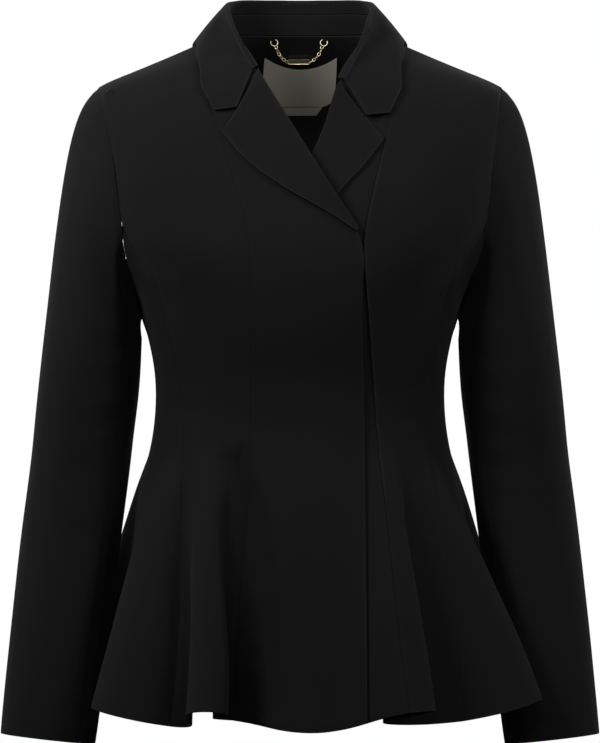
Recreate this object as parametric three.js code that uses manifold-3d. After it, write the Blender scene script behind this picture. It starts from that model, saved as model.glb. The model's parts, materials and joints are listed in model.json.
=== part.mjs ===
// Women's wool blazer with a flared peplum, in the shape it has when worn, with nobody in it.
// Millimetres, +Z up. The front faces -Y and +X is the wearer's left. The origin lies between
// the shoulders, at the base of the neck.
import * as THREE from 'three';
import { mergeVertices } from 'three/addons/utils/BufferGeometryUtils.js';
import Module from 'manifold-3d';

// Driving dimensions
const CLOTH = 2;
const DOUBLED = 2.6;
const LINING = 1;
const SEAM = 0.3;
const NECK_EDGE = 17;
const SHOULDER_TIP = -33;
const CHEST = -262;
const HEM = -622;
const BREAK = -164;
const FRONT_OVERLAP = 59;
const UNDERLAP_EDGE = -18;

// Heights of the rows of every body piece below the chest
const LEVELS = [-288, -315, -345, -372, -400, -432, -470, -510, -550, -588, HEM];
const ARMHOLE_STEPS = [0, 0.09, 0.26, 0.48, 0.74, 1];
const ARMHOLE_ROWS = ARMHOLE_STEPS.length - 1;
const UNDERARM_ROWS = 3;
const FRONT_JOIN = -166;
const BACK_JOIN = -150;

// The body without its folds: half width, depth of front and back from the shoulder line, and
// the power of the section, 2 for an ellipse and more for a squarer one
const BODY = [
  { z: 17, half: 72, front: 50, back: 58, power: 2.0 },
  { z: 7, half: 94, front: 61, back: 65, power: 2.0 },
  { z: -13, half: 140, front: 73, back: 73, power: 2.0 },
  { z: -33, half: 186, front: 82, back: 80, power: 2.25 },
  { z: -54, half: 188, front: 89, back: 85, power: 2.55 },
  { z: -83, half: 187, front: 97, back: 89, power: 2.7 },
  { z: -110, half: 186, front: 104, back: 91, power: 2.7 },
  { z: -143, half: 183, front: 111, back: 91, power: 2.6 },
  { z: -179, half: 174, front: 116, back: 89, power: 2.5 },
  { z: -205, half: 161, front: 117, back: 86, power: 2.4 },
  { z: -228, half: 150, front: 115, back: 82, power: 2.3 },
  { z: -251, half: 143.5, front: 111, back: 77, power: 2.3 },
  { z: -273, half: 137, front: 106, back: 72, power: 2.3 },
  { z: -304, half: 133, front: 99, back: 66, power: 2.3 },
  { z: -329, half: 133, front: 96, back: 64, power: 2.3 },
  { z: -356, half: 136, front: 97, back: 67, power: 2.3 },
  { z: -383, half: 142, front: 101, back: 75, power: 2.3 },
  { z: -412, half: 148, front: 106, back: 84, power: 2.3 },
  { z: -500, half: 157, front: 117, back: 102, power: 2.3 },
  { z: -622, half: 165, front: 125, back: 115, power: 2.3 },
];

// Folds of the peplum, a row for each crest and valley round the body. Turn is in degrees from
// the centre front, out and lean are how far the hem stands off the plain body, outward and
// round it, rise is how far it lifts, and from is the height where the fold starts.
const FOLDS = [
  { turn: -180, out: 16, lean: 0, rise: 24, from: -365 },
  { turn: -172, out: 42, lean: 0, rise: 28, from: -372 },
  { turn: -160, out: 8, lean: 4, rise: 20, from: -375 },
  { turn: -146, out: 52, lean: 0, rise: 30, from: -372 },
  { turn: -132, out: 26, lean: -4, rise: 24, from: -365 },
  { turn: -118, out: 70, lean: 4, rise: 30, from: -350 },
  { turn: -105, out: 50, lean: 2, rise: 28, from: -345 },
  { turn: -98, out: 24, lean: 0, rise: 23, from: -355 },
  { turn: -91, out: 2, lean: 0, rise: 26, from: -370 },
  { turn: -80, out: 0, lean: -2, rise: 24, from: -380 },
  { turn: -68, out: 24, lean: -8, rise: 25, from: -370 },
  { turn: -60, out: 53, lean: -3, rise: 21, from: -366 },
  { turn: -52, out: 34, lean: 10, rise: 11, from: -372 },
  { turn: -45, out: 8, lean: 13, rise: 5, from: -374 },
  { turn: -39, out: 0, lean: 13, rise: 6, from: -374 },
  { turn: -35, out: 32, lean: 13, rise: 17, from: -372 },
  { turn: -31, out: 36, lean: 24, rise: 20, from: -370 },
  { turn: -27, out: 18, lean: 27, rise: 17, from: -368 },
  { turn: -23, out: -20, lean: -12, rise: 12, from: -368 },
  { turn: -18, out: -28, lean: -8, rise: 10, from: -370 },
  { turn: -11, out: -16, lean: -4, rise: 7, from: -374 },
  { turn: -4, out: 2, lean: 0, rise: 2, from: -390 },
  { turn: 3, out: 7, lean: 0, rise: 0, from: -400 },
  { turn: 12, out: 8, lean: 0, rise: 4, from: -400 },
  { turn: 20, out: 22, lean: -2, rise: 12, from: -372 },
  { turn: 28, out: 42, lean: -2, rise: 19, from: -356 },
  { turn: 33, out: 42, lean: 9, rise: 20, from: -356 },
  { turn: 39, out: -2, lean: -38, rise: 9, from: -362 },
  { turn: 46, out: 6, lean: -14, rise: 7, from: -370 },
  { turn: 53, out: 40, lean: 14, rise: 14, from: -372 },
  { turn: 61, out: 68, lean: 38, rise: 31, from: -372 },
  { turn: 69, out: 36, lean: 14, rise: 33, from: -374 },
  { turn: 80, out: 2, lean: 3, rise: 34, from: -380 },
  { turn: 91, out: 2, lean: 0, rise: 34, from: -370 },
  { turn: 98, out: 24, lean: 0, rise: 33, from: -355 },
  { turn: 105, out: 46, lean: -2, rise: 32, from: -345 },
  { turn: 118, out: 66, lean: -4, rise: 30, from: -350 },
  { turn: 132, out: 24, lean: 4, rise: 24, from: -365 },
  { turn: 147, out: 50, lean: 0, rise: 29, from: -372 },
  { turn: 161, out: 9, lean: -4, rise: 20, from: -375 },
  { turn: 172, out: 40, lean: 0, rise: 28, from: -372 },
  { turn: 180, out: 16, lean: 0, rise: 24, from: -365 },
];
// How a fold grows from its start to the hem, 1 for evenly
const FOLD_POWER = 1.15;

// Seams of the fronts, by their distance across the plain body at each height
const PRINCESS_RIGHT = [
  { z: 5, across: -99.5 },
  { z: -28, across: -89 },
  { z: -56, across: -81 },
  { z: -83, across: -72 },
  { z: -121, across: -60 },
  { z: -159, across: -49 },
  { z: -186, across: -46 },
  { z: -242, across: -44.5 },
  { z: -300, across: -45 },
  { z: -372, across: -46 },
  { z: -450, across: -52 },
  { z: HEM, across: -60 },
];
const PRINCESS_LEFT = [
  { z: 5, across: 99.5 },
  { z: -28, across: 89 },
  { z: -56, across: 82 },
  { z: -88, across: 77 },
  { z: -117, across: 70 },
  { z: -152, across: 61 },
  { z: -178, across: 58.5 },
  { z: -218, across: 61 },
  { z: -280, across: 66 },
  { z: -356, across: 71 },
  { z: -425, across: 76 },
  { z: HEM, across: 86 },
];
const SIDE_FRONT_RIGHT = [
  { z: FRONT_JOIN, across: -162 },
  { z: -188, across: -143 },
  { z: -213, across: -131 },
  { z: -265, across: -118 },
  { z: -321, across: -108 },
  { z: -372, across: -107.5 },
  { z: -450, across: -112 },
  { z: HEM, across: -123 },
];
const SIDE_FRONT_LEFT = [
  { z: FRONT_JOIN, across: 169 },
  { z: -188, across: 149 },
  { z: -213, across: 137 },
  { z: -265, across: 124 },
  { z: -321, across: 118 },
  { z: -372, across: 120 },
  { z: -450, across: 124 },
  { z: HEM, across: 131 },
];
const ARMHOLE_FRONT_RIGHT = [
  { z: SHOULDER_TIP, across: -186 },
  { z: -54, across: -180 },
  { z: -83, across: -174 },
  { z: -110, across: -169 },
  { z: -143, across: -166 },
  { z: FRONT_JOIN, across: -162 },
];
const ARMHOLE_FRONT_LEFT = [
  { z: SHOULDER_TIP, across: 186 },
  { z: -54, across: 183 },
  { z: -83, across: 179 },
  { z: -110, across: 176 },
  { z: -143, across: 173.5 },
  { z: FRONT_JOIN, across: 169 },
];

// Front edges: down the neck and the roll line to the break, then straight to the hem
const FRONT_EDGE_RIGHT = [
  { z: NECK_EDGE, across: -72 },
  { z: 7, across: -58 },
  { z: -2, across: -50 },
  { z: -55, across: -18 },
  { z: -132, across: 31 },
  { z: BREAK, across: 53 },
  { z: -176, across: FRONT_OVERLAP - 2 },
  { z: -250, across: FRONT_OVERLAP - 2 },
  { z: -341, across: FRONT_OVERLAP },
  { z: HEM, across: FRONT_OVERLAP },
];
const FRONT_EDGE_LEFT = [
  { z: NECK_EDGE, across: 72 },
  { z: 7, across: 58 },
  { z: -2, across: 49 },
  { z: -28, across: 36 },
  { z: -64, across: 24 },
  { z: -86, across: 15 },
  { z: -132, across: -5 },
  { z: BREAK, across: UNDERLAP_EDGE },
  { z: HEM, across: UNDERLAP_EDGE },
];

// Seams and guides of the back, by their turn from the centre front
const ARMHOLE_BACK = [
  { z: SHOULDER_TIP, turn: 90 },
  { z: -44, turn: 102 },
  { z: -60, turn: 109 },
  { z: -83, turn: 114 },
  { z: -110, turn: 117 },
  { z: BACK_JOIN, turn: 118 },
];
const SIDE_BACK = [
  { z: BACK_JOIN, turn: 118 },
  { z: -200, turn: 121 },
  { z: CHEST, turn: 125 },
  { z: -310, turn: 127 },
  { z: -372, turn: 128 },
  { z: HEM, turn: 128 },
];
const BLADE = [
  { z: NECK_EDGE, turn: 90 },
  { z: 8, turn: 112 },
  { z: -12, turn: 125 },
  { z: -45, turn: 134 },
  { z: -95, turn: 141 },
  { z: -150, turn: 144 },
  { z: CHEST, turn: 149 },
  { z: HEM, turn: 153 },
];
const CENTRE_BACK = [
  { z: NECK_EDGE, turn: 180 },
  { z: HEM, turn: 180 },
];
// The bottom of the armhole, by the share of the way from its front end to its back end
const UNDERARM = [
  { share: 0, z: FRONT_JOIN },
  { share: 0.22, z: -212 },
  { share: 0.52, z: -245 },
  { share: 0.8, z: -208 },
  { share: 1, z: BACK_JOIN },
];

// Lapels: the roll line and the outer edge, across and up, and how far the roll stands off,
// row by row from the gorge down
const LAPEL_RIGHT = [
  { rollX: -37.6, rollZ: -19.7, edgeX: -56.6, edgeZ: -55, puff: 3 },
  { rollX: -33, rollZ: -28.5, edgeX: -71, edgeZ: -75.5, puff: 3 },
  { rollX: -24, rollZ: -43, edgeX: -60, edgeZ: -89.5, puff: 3 },
  { rollX: -12, rollZ: -62, edgeX: -45, edgeZ: -105, puff: 3 },
  { rollX: 3, rollZ: -86, edgeX: -23, edgeZ: -121.5, puff: 3 },
  { rollX: 18, rollZ: -110, edgeX: 3, edgeZ: -137, puff: 3 },
  { rollX: 32, rollZ: -132, edgeX: 25, edgeZ: -149, puff: 2.5 },
  { rollX: 44, rollZ: -150, edgeX: 41, edgeZ: -159.5, puff: 1.5 },
  { rollX: 53, rollZ: -163, edgeX: 51.5, edgeZ: -166.5, puff: 0.5 },
];
const LAPEL_LEFT = [
  { rollX: 35, rollZ: -31.5, edgeX: 60.1, edgeZ: -63, puff: 3 },
  { rollX: 32.5, rollZ: -37.5, edgeX: 77, edgeZ: -82, puff: 3 },
  { rollX: 29, rollZ: -46, edgeX: 68, edgeZ: -94.5, puff: 2.5 },
  { rollX: 24, rollZ: -64, edgeX: 58, edgeZ: -107, puff: 1.6 },
  { rollX: 17, rollZ: -82, edgeX: 45, edgeZ: -121, puff: 0.6 },
  { rollX: 9, rollZ: -100, edgeX: 33, edgeZ: -134.5, puff: 0 },
  { rollX: 2, rollZ: -116, edgeX: 21, edgeZ: -147, puff: 0 },
];
const LAPEL_COLUMNS = 5;
const LAPEL_LIFT = 0.9;

// Collar, a row for each station from the front end to the centre back. The seam lies on the
// neck edge, the edge is where the leaf ends on the body, and stand is the height of the fold.
// The front ends differ, because the wearer's left one hangs lower.
const COLLAR_FRONT = {
  right: [
    { seamTurn: 15, seamZ: -17.5, stand: 4, tuck: 0, edgeTurn: 18.7, edgeZ: -56.5, chest: 1, bend: 1 },
    { seamTurn: 26, seamZ: -2, stand: 9, tuck: 1, edgeTurn: 24.2, edgeZ: -38, chest: 1, bend: 0.4 },
  ],
  left: [
    { seamTurn: 9.8, seamZ: -29.5, stand: 6.4, tuck: 0, edgeTurn: 20, edgeZ: -59, chest: 1, bend: 1 },
    { seamTurn: 22, seamZ: -8, stand: 8, tuck: 1, edgeTurn: 24.7, edgeZ: -40, chest: 1, bend: 0.4 },
  ],
};
const COLLAR_BACK = [
  { seamTurn: 41, seamZ: 8, stand: 17, tuck: 4, edgeTurn: 36, edgeZ: -18, chest: 0.4, bend: 0 },
  { seamTurn: 64, seamZ: 14.5, stand: 24, tuck: 9, edgeTurn: 60, edgeZ: 1, chest: 0, bend: 0 },
  { seamTurn: 90, seamZ: 17, stand: 28, tuck: 11.5, edgeTurn: 90, edgeZ: 6, chest: 0, bend: 0 },
  { seamTurn: 113, seamZ: 17, stand: 30.5, tuck: 10, edgeTurn: 112, edgeZ: 2, chest: 0, bend: 0 },
  { seamTurn: 136, seamZ: 17, stand: 32, tuck: 7, edgeTurn: 136, edgeZ: -4, chest: 0, bend: 0 },
  { seamTurn: 158, seamZ: 17, stand: 32, tuck: 5, edgeTurn: 158, edgeZ: -7, chest: 0, bend: 0 },
  { seamTurn: 180, seamZ: 17, stand: 32, tuck: 4, edgeTurn: 180, edgeZ: -8, chest: 0, bend: 0 },
];
const COLLAR_STATIONS = 26;
const FOLD_TURNS = [0.12, 0.32, 0.5, 0.72, 1];
const LEAF_SHARES = [0.22, 0.45, 0.66, 0.85];
const NOTCH_SHARE = 0.66;
const LEAF_SWELL = 0.8;
const LEAF_REACH = 40;
const UPRIGHT_FROM = 20;
const TUCK_HEIGHT = 30;
const STAND_STARTS = 0.24;
const STAND_SHARE = 0.6;
const STAND_WALL = 1.4;
const STAND_GAP = 0.95;
const FOLD_RADIUS = 3.5;
// How far the notch's corner lies off the straight line from the fold to the leaf's edge
const NOTCH_SHIFT = { right: { across: 8.6, up: -9.6 }, left: { across: 8.2, up: -11.7 } };

// Sleeves, by the height of the middle of each ring: its middle and its half width and depth
const SLEEVE = [
  { z: -262, across: 190.5, deep: 4, wide: 44.8, thick: 54 },
  { z: -304, across: 193.8, deep: 6, wide: 46.2, thick: 52.5 },
  { z: -340, across: 198, deep: 8, wide: 45.8, thick: 51 },
  { z: -374, across: 201.5, deep: 9, wide: 45.5, thick: 49 },
  { z: -412, across: 206.5, deep: 8, wide: 45.5, thick: 47 },
  { z: -456, across: 212, deep: 4, wide: 45.7, thick: 45 },
  { z: -500, across: 217, deep: -2, wide: 45.5, thick: 43 },
  { z: -550, across: 222.5, deep: -9, wide: 45, thick: 41 },
  { z: -595, across: 227.5, deep: -15, wide: 44.5, thick: 39 },
  { z: -631, across: 231.5, deep: -19, wide: 43.7, thick: 37.5 },
];
const SLEEVE_LEAN = 0.113;
const CAP_ROWS = 6;
const CAP_START = 0.14;
const CAP_END = 0.62;
const CAP_HEIGHT = 190;
// How far the sleeve turns off the body at each share of the way round the armhole, in degrees
const CAP_TURN = [
  { share: 0, angle: 10 },
  { share: 0.15, angle: 24 },
  { share: 0.3, angle: 50 },
  { share: 0.4, angle: 88 },
  { share: 0.6, angle: 88 },
  { share: 0.72, angle: 50 },
  { share: 0.86, angle: 24 },
  { share: 1, angle: 10 },
];
const UNDER_SLEEVE_FROM = 7;
const UNDER_SLEEVE_TO = 19;

// Columns of the grids of the body pieces; a back has one count on each side of the blade
const FRONT_COLUMNS = 8;
const SIDE_FRONT_COLUMNS = { right: 12, left: 14 };
const SIDE_COLUMNS = 16;
const BACK_COLUMNS = [4, 5];

// The left front is set back under the right one, and further under the lapels. It comes back
// out to the body between the two distances across, and the lapels' room ends between heights.
const UNDERLAP = { gap: 1.1, from: 62, to: 88, top: 50, full: 80 };
const LAPEL_ROOM = { depth: 4, from: 36, to: 56, top: 230, bottom: 320 };

// What lies inside the backs: lining, labels and hanger loop, by their depth under the cloth
const LINING_DEPTH = CLOTH + 0.4;
const LINING_ROWS = 7;
const LABEL_DEPTH = LINING_DEPTH + LINING + 0.95;
const LABEL = 0.7;
const LABEL_COLUMNS = 8;
const CARE_COLUMNS = 6;
const LABEL_ROWS = [
  { z: -1.2, middle: 0.7, half: 34.3, dip: 11.5 },
  { z: -18, middle: -0.3, half: 34.6, dip: 6 },
  { z: -33, middle: -1, half: 34, dip: 2 },
  { z: -41.5, middle: -1.2, half: 33.5, dip: 0 },
  { z: -47.3, middle: -1.2, half: 24, dip: 0 },
];
const CARE_ROWS = [
  { z: -47.9, middle: -0.6, half: 21.5 },
  { z: -55.8, middle: -0.8, half: 16 },
];

// Hanger loop: a ring at each end, a short chain of links and a bar between them. A clear is
// how far a piece stands off what lies under or beside it, and a twist turns every other link.
const RING = { radius: 3.1, wire: 0.6, middle: -0.9, across: 24.1, z: 12.4, clear: 0.2 };
const LINK = { long: 3.1, wide: 1.7, wire: 0.5, count: 4, twist: 0.3, depth: 2.2 };
const CHAIN = { underRing: 1.2, inRing: 1.4, besideBar: 2.9, upBar: 2.6 };
const BAR = { half: 10.6, high: 4.6, thick: 1.3, across: -1.1, z: -4.7, clear: 0.2 };
const HANGER_DEPTH = LABEL_DEPTH + LABEL + SEAM + BAR.clear;

// Steps that find a place on a piece's grid
const SEARCH = { steps: 40, span: 0.25, share: 0.6 };

const DEGREE = Math.PI / 180;
const UP = new THREE.Vector3(0, 0, 1);

const wool = new THREE.MeshStandardMaterial({ color: 0x1d1d1f, roughness: 0.92, metalness: 0 });
const satin = new THREE.MeshStandardMaterial({ color: 0x141416, roughness: 0.5, metalness: 0 });
const gold = new THREE.MeshStandardMaterial({ color: 0xc9a253, roughness: 0.3, metalness: 1 });
const woven = new THREE.MeshStandardMaterial({ color: 0xe6ddcb, roughness: 0.75, metalness: 0 });

const blazer = new THREE.Group();

// A smooth curve through the rows of a table, held level past both ends
function through(table, key, column, at) {
  const rows = table[0][key] <= table[table.length - 1][key] ? table : [...table].reverse();
  const last = rows.length - 1;
  if (at <= rows[0][key]) return rows[0][column];
  if (at >= rows[last][key]) return rows[last][column];
  let i = 0;
  while (rows[i + 1][key] < at) i += 1;
  const slope = (a, b) => (rows[b][column] - rows[a][column]) / (rows[b][key] - rows[a][key]);
  const width = rows[i + 1][key] - rows[i][key];
  const t = (at - rows[i][key]) / width;
  const start = slope(Math.max(i - 1, 0), i + 1) * width;
  const end = slope(i, Math.min(i + 2, last)) * width;
  const from = rows[i][column];
  const to = rows[i + 1][column];
  return from * (1 + 2 * t) * (1 - t) ** 2 + start * t * (1 - t) ** 2
    + to * t * t * (3 - 2 * t) + end * t * t * (t - 1);
}

const mix = THREE.MathUtils.lerp;
const smooth = (t) => THREE.MathUtils.smoothstep(t, 0, 1);
const signedPower = (value, power) => Math.sign(value) * Math.abs(value) ** power;

// A point of the body without folds
function plainBody(turn, z) {
  const power = 2 / through(BODY, 'z', 'power', z);
  const across = signedPower(Math.sin(turn * DEGREE), power) * through(BODY, 'z', 'half', z);
  const side = Math.cos(turn * DEGREE);
  const depth = through(BODY, 'z', side > 0 ? 'front' : 'back', z);
  return new THREE.Vector3(across, -signedPower(side, power) * depth, z);
}

// The turn on the front half where the plain body is this far across
function turnAt(across, z) {
  const share = Math.min(1, Math.abs(across) / through(BODY, 'z', 'half', z));
  const angle = Math.asin(share ** (through(BODY, 'z', 'power', z) / 2));
  return Math.sign(across) * angle / DEGREE;
}

// A point of the cloth's outer side, folds included
function cloth(turn, z) {
  const point = plainBody(turn, z);
  const from = through(FOLDS, 'turn', 'from', turn);
  const grown = THREE.MathUtils.clamp((from - z) / (from - HEM), 0, 1);
  if (grown === 0) return point;
  const round = plainBody(turn + 1, z).sub(plainBody(turn - 1, z)).setZ(0).normalize();
  const outward = new THREE.Vector3(round.y, -round.x, 0);
  point.addScaledVector(outward, through(FOLDS, 'turn', 'out', turn) * grown ** FOLD_POWER);
  point.addScaledVector(round, through(FOLDS, 'turn', 'lean', turn) * smooth(grown));
  point.z += through(FOLDS, 'turn', 'rise', turn) * grown;
  return point;
}

function normalOf(place, turn, z) {
  const round = place(turn + 0.5, z).sub(place(turn - 0.5, z));
  const up = place(turn, z + 1).sub(place(turn, z - 1));
  return round.cross(up).normalize();
}

// The left front lies under the right one: how far it is set back
function setBack(turn, z) {
  const across = plainBody(turn, z).x;
  const fade = (value, from, to) => 1 - THREE.MathUtils.smoothstep(value, from, to);
  const below = 1 - fade(-z, UNDERLAP.top, UNDERLAP.full);
  const edge = (CLOTH + UNDERLAP.gap) * fade(across, UNDERLAP.from, UNDERLAP.to);
  const lapelRoom = LAPEL_ROOM.depth * fade(across, LAPEL_ROOM.from, LAPEL_ROOM.to)
    * fade(-z, LAPEL_ROOM.top, LAPEL_ROOM.bottom);
  return below * (edge + lapelRoom);
}

function underCloth(turn, z) {
  return cloth(turn, z).addScaledVector(normalOf(cloth, turn, z), -setBack(turn, z));
}

// A point and its normal at each place of a grid of turns and heights
function survey(places, place) {
  return places.map((row) => row.map(({ turn, z }) => ({
    point: place(turn, z),
    normal: normalOf(place, turn, z),
  })));
}

// Rows of places between guides, each guide a list of places from top to bottom
function spread(guides, columns) {
  return guides[0].map((start, row) => {
    const places = [start];
    columns.forEach((count, part) => {
      const a = guides[part][row];
      const b = guides[part + 1][row];
      for (let i = 1; i <= count; i += 1) {
        places.push({ turn: mix(a.turn, b.turn, i / count), z: mix(a.z, b.z, i / count) });
      }
    });
    return places;
  });
}

// The heights of the rows along a seam that starts at top and reaches the arm's seam at join
function heights(top, join) {
  const rows = ARMHOLE_STEPS.map((share) => mix(top, join, share));
  for (let i = 1; i <= UNDERARM_ROWS; i += 1) rows.push(mix(join, CHEST, i / UNDERARM_ROWS));
  return [...rows, ...LEVELS];
}

function frontSeam(upper, lower, top) {
  return heights(top, FRONT_JOIN).map((z, row) => {
    const table = row <= ARMHOLE_ROWS ? upper : lower;
    return { turn: turnAt(through(table, 'z', 'across', z), z), z };
  });
}

function backSeam(upper, lower, top, side) {
  return heights(top, BACK_JOIN).map((z, row) => {
    const table = row <= ARMHOLE_ROWS ? upper : lower;
    return { turn: side * through(table, 'z', 'turn', z), z };
  });
}

// Draws two edges of neighbouring pieces apart by moving each half a seam into its piece
function easeEdges(grid) {
  const pull = (a, b) => a.point.addScaledVector(
    b.point.clone().sub(a.point).normalize(),
    SEAM / 2,
  );
  grid.forEach((row) => {
    pull(row[0], row[1]);
    pull(row[row.length - 1], row[row.length - 2]);
  });
  grid[0].forEach((spot, i) => pull(spot, grid[1][i]));
}

function copyGrid(grid) {
  return grid.map((row) => row.map(({ point, normal }) => ({
    point: point.clone(),
    normal: normal.clone(),
  })));
}

// A closed wall between two grids of points that lie a thickness apart. Each four-sided face is
// cut along its shorter diagonal.
function closedWall(name, outer, inner, material) {
  const rows = outer.length;
  const columns = outer[0].length;
  const points = [...outer.flat(), ...inner.flat()];
  const index = [];
  const at = (layer, row, column) => layer * rows * columns + row * columns + column;
  const quad = (a, b, c, d) => {
    const shorter = points[a].distanceTo(points[c]) <= points[b].distanceTo(points[d]);
    index.push(...(shorter ? [a, b, c, a, c, d] : [a, b, d, b, c, d]));
  };
  for (let r = 0; r < rows - 1; r += 1) {
    for (let c = 0; c < columns - 1; c += 1) {
      quad(at(0, r, c), at(0, r + 1, c), at(0, r + 1, c + 1), at(0, r, c + 1));
      quad(at(1, r, c), at(1, r, c + 1), at(1, r + 1, c + 1), at(1, r + 1, c));
    }
  }
  for (let c = 0; c < columns - 1; c += 1) {
    quad(at(0, 0, c), at(0, 0, c + 1), at(1, 0, c + 1), at(1, 0, c));
    quad(at(0, rows - 1, c + 1), at(0, rows - 1, c), at(1, rows - 1, c), at(1, rows - 1, c + 1));
  }
  for (let r = 0; r < rows - 1; r += 1) {
    quad(at(0, r + 1, 0), at(0, r, 0), at(1, r, 0), at(1, r + 1, 0));
    quad(at(0, r, columns - 1), at(0, r + 1, columns - 1),
      at(1, r + 1, columns - 1), at(1, r, columns - 1));
  }
  if (facesIn(outer, inner)) index.reverse();
  const geometry = new THREE.BufferGeometry();
  geometry.setAttribute('position', new THREE.Float32BufferAttribute(
    points.flatMap((point) => [point.x, point.y, point.z]), 3));
  geometry.setIndex(index);
  geometry.computeVertexNormals();
  addMesh(name, geometry, material);
}

// Whether the outer grid's rows and columns turn the wrong way for its faces to point out
function facesIn(outer, inner) {
  const r = Math.floor(outer.length / 2) - 1;
  const c = Math.floor(outer[0].length / 2) - 1;
  const down = outer[r + 1][c].clone().sub(outer[r][c]);
  const along = outer[r][c + 1].clone().sub(outer[r][c]);
  return down.cross(along).dot(outer[r][c].clone().sub(inner[r][c])) < 0;
}

function addMesh(name, geometry, material) {
  const mesh = new THREE.Mesh(geometry, material);
  mesh.name = name;
  blazer.add(mesh);
}

function wallFromGrid(name, grid, thickness, material) {
  const outer = grid.map((row) => row.map(({ point }) => point));
  const inner = grid.map((row) => row.map(
    ({ point, normal }) => point.clone().addScaledVector(normal, -thickness)));
  closedWall(name, outer, inner, material);
}

// Lays a body piece between its guides and keeps its untrimmed grid for what joins it
function bodyPiece(name, guides, columns, place = cloth) {
  const grid = survey(spread(guides, columns), place);
  const trimmed = copyGrid(grid);
  easeEdges(trimmed);
  wallFromGrid(name, trimmed, CLOTH, wool);
  return grid;
}

// The side piece's top is the bottom of the armhole, so its first rows dip under the arm
function sidePlaces(frontGuide, backGuide, columns, side) {
  const first = ARMHOLE_ROWS;
  const places = spread([frontGuide.slice(first), backGuide.slice(first)], [columns]);
  places.slice(0, UNDERARM_ROWS).forEach((row, r) => {
    row.forEach((place, i) => {
      const share = side > 0 ? i / columns : 1 - i / columns;
      place.z = mix(through(UNDERARM, 'share', 'z', share), CHEST, r / UNDERARM_ROWS);
    });
  });
  return places;
}

function sidePiece(name, frontGuide, backGuide, columns, side) {
  const grid = survey(sidePlaces(frontGuide, backGuide, columns, side), cloth);
  const trimmed = copyGrid(grid);
  easeEdges(trimmed);
  wallFromGrid(name, trimmed, CLOTH, wool);
  return grid;
}

// Direction from one grid spot to another, kept in the cloth's surface at the first
function awayFrom(spot, next) {
  const away = spot.point.clone().sub(next.point);
  return away.addScaledVector(spot.normal, -away.dot(spot.normal)).normalize();
}

// The armhole's edge from the shoulder down the front, under the arm and up the back
function armholeLoop(sideFront, side, back, edge) {
  const spot = (grid, row, column, next) => ({
    point: grid[row][column].point.clone(),
    normal: grid[row][column].normal.clone(),
    away: awayFrom(grid[row][column], next),
  });
  const fromFront = (row) => spot(sideFront, row, edge.front, sideFront[row][edge.frontNext]);
  const fromBack = (row) => spot(back, row, edge.back, back[row][edge.backNext]);
  const loop = [];
  for (let row = 0; row < ARMHOLE_ROWS; row += 1) loop.push(fromFront(row));
  side[0].forEach((unused, i) => {
    const column = edge.reverse ? side[0].length - 1 - i : i;
    loop.push(spot(side, 0, column, side[1][column]));
  });
  for (let row = ARMHOLE_ROWS - 1; row > 0; row -= 1) loop.push(fromBack(row));
  return evenDirections(evenDirections(evenDirections(loop)));
}

// Averages each direction off the armhole with its neighbours'
function evenDirections(loop) {
  return loop.map((spot, i) => {
    const before = loop[(i + loop.length - 1) % loop.length].away;
    const after = loop[(i + 1) % loop.length].away;
    const away = spot.away.clone().multiplyScalar(2).add(before).add(after);
    away.addScaledVector(spot.normal, -away.dot(spot.normal)).normalize();
    return { ...spot, away };
  });
}

// Share of the way round the loop at each of its points
function loopShares(loop) {
  const lengths = [0];
  loop.forEach(({ point }, i) => {
    lengths.push(lengths[i] + point.distanceTo(loop[(i + 1) % loop.length].point));
  });
  const whole = lengths[loop.length];
  return loop.map((unused, i) => lengths[i] / whole);
}

function sleeveRing(row, share, side) {
  const angle = share * 2 * Math.PI;
  const out = Math.cos(angle) * row.wide;
  return new THREE.Vector3(
    side * (row.across + out),
    row.deep - Math.sin(angle) * row.thick,
    row.z + out * SLEEVE_LEAN,
  );
}

// Rows of points from the armhole over the cap and down to the cuff
function sleevePoints(loop, side) {
  const shares = loopShares(loop);
  const down = new THREE.Vector3(side * SLEEVE_LEAN, 0, -1).normalize();
  const rows = [];
  for (let r = 0; r < CAP_ROWS; r += 1) {
    rows.push(loop.map(({ point, normal, away }, i) => {
      const angle = through(CAP_TURN, 'share', 'angle', shares[i]) * DEGREE;
      const leave = away.clone().multiplyScalar(Math.cos(angle))
        .addScaledVector(normal, Math.sin(angle));
      const start = point.clone().addScaledVector(leave, SEAM);
      const end = sleeveRing(SLEEVE[0], shares[i], side);
      const length = end.distanceTo(start);
      const curve = new THREE.CubicBezierCurve3(
        start,
        start.clone().addScaledVector(leave, CAP_START * length),
        end.clone().addScaledVector(down, -CAP_END * length * Math.sqrt(length / CAP_HEIGHT)),
        end,
      );
      return curve.getPoint(r / CAP_ROWS);
    }));
  }
  SLEEVE.forEach((ring) => rows.push(shares.map((share) => sleeveRing(ring, share, side))));
  return rows;
}

// Normals of a grid of points that closes on itself round the sleeve
function ringNormals(rows) {
  return rows.map((row, r) => row.map((unused, i) => {
    const before = row[(i + row.length - 1) % row.length];
    const after = row[(i + 1) % row.length];
    const above = rows[Math.max(r - 1, 0)][i];
    const below = rows[Math.min(r + 1, rows.length - 1)][i];
    const round = after.clone().sub(before);
    return round.cross(below.clone().sub(above)).normalize();
  }));
}

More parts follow.
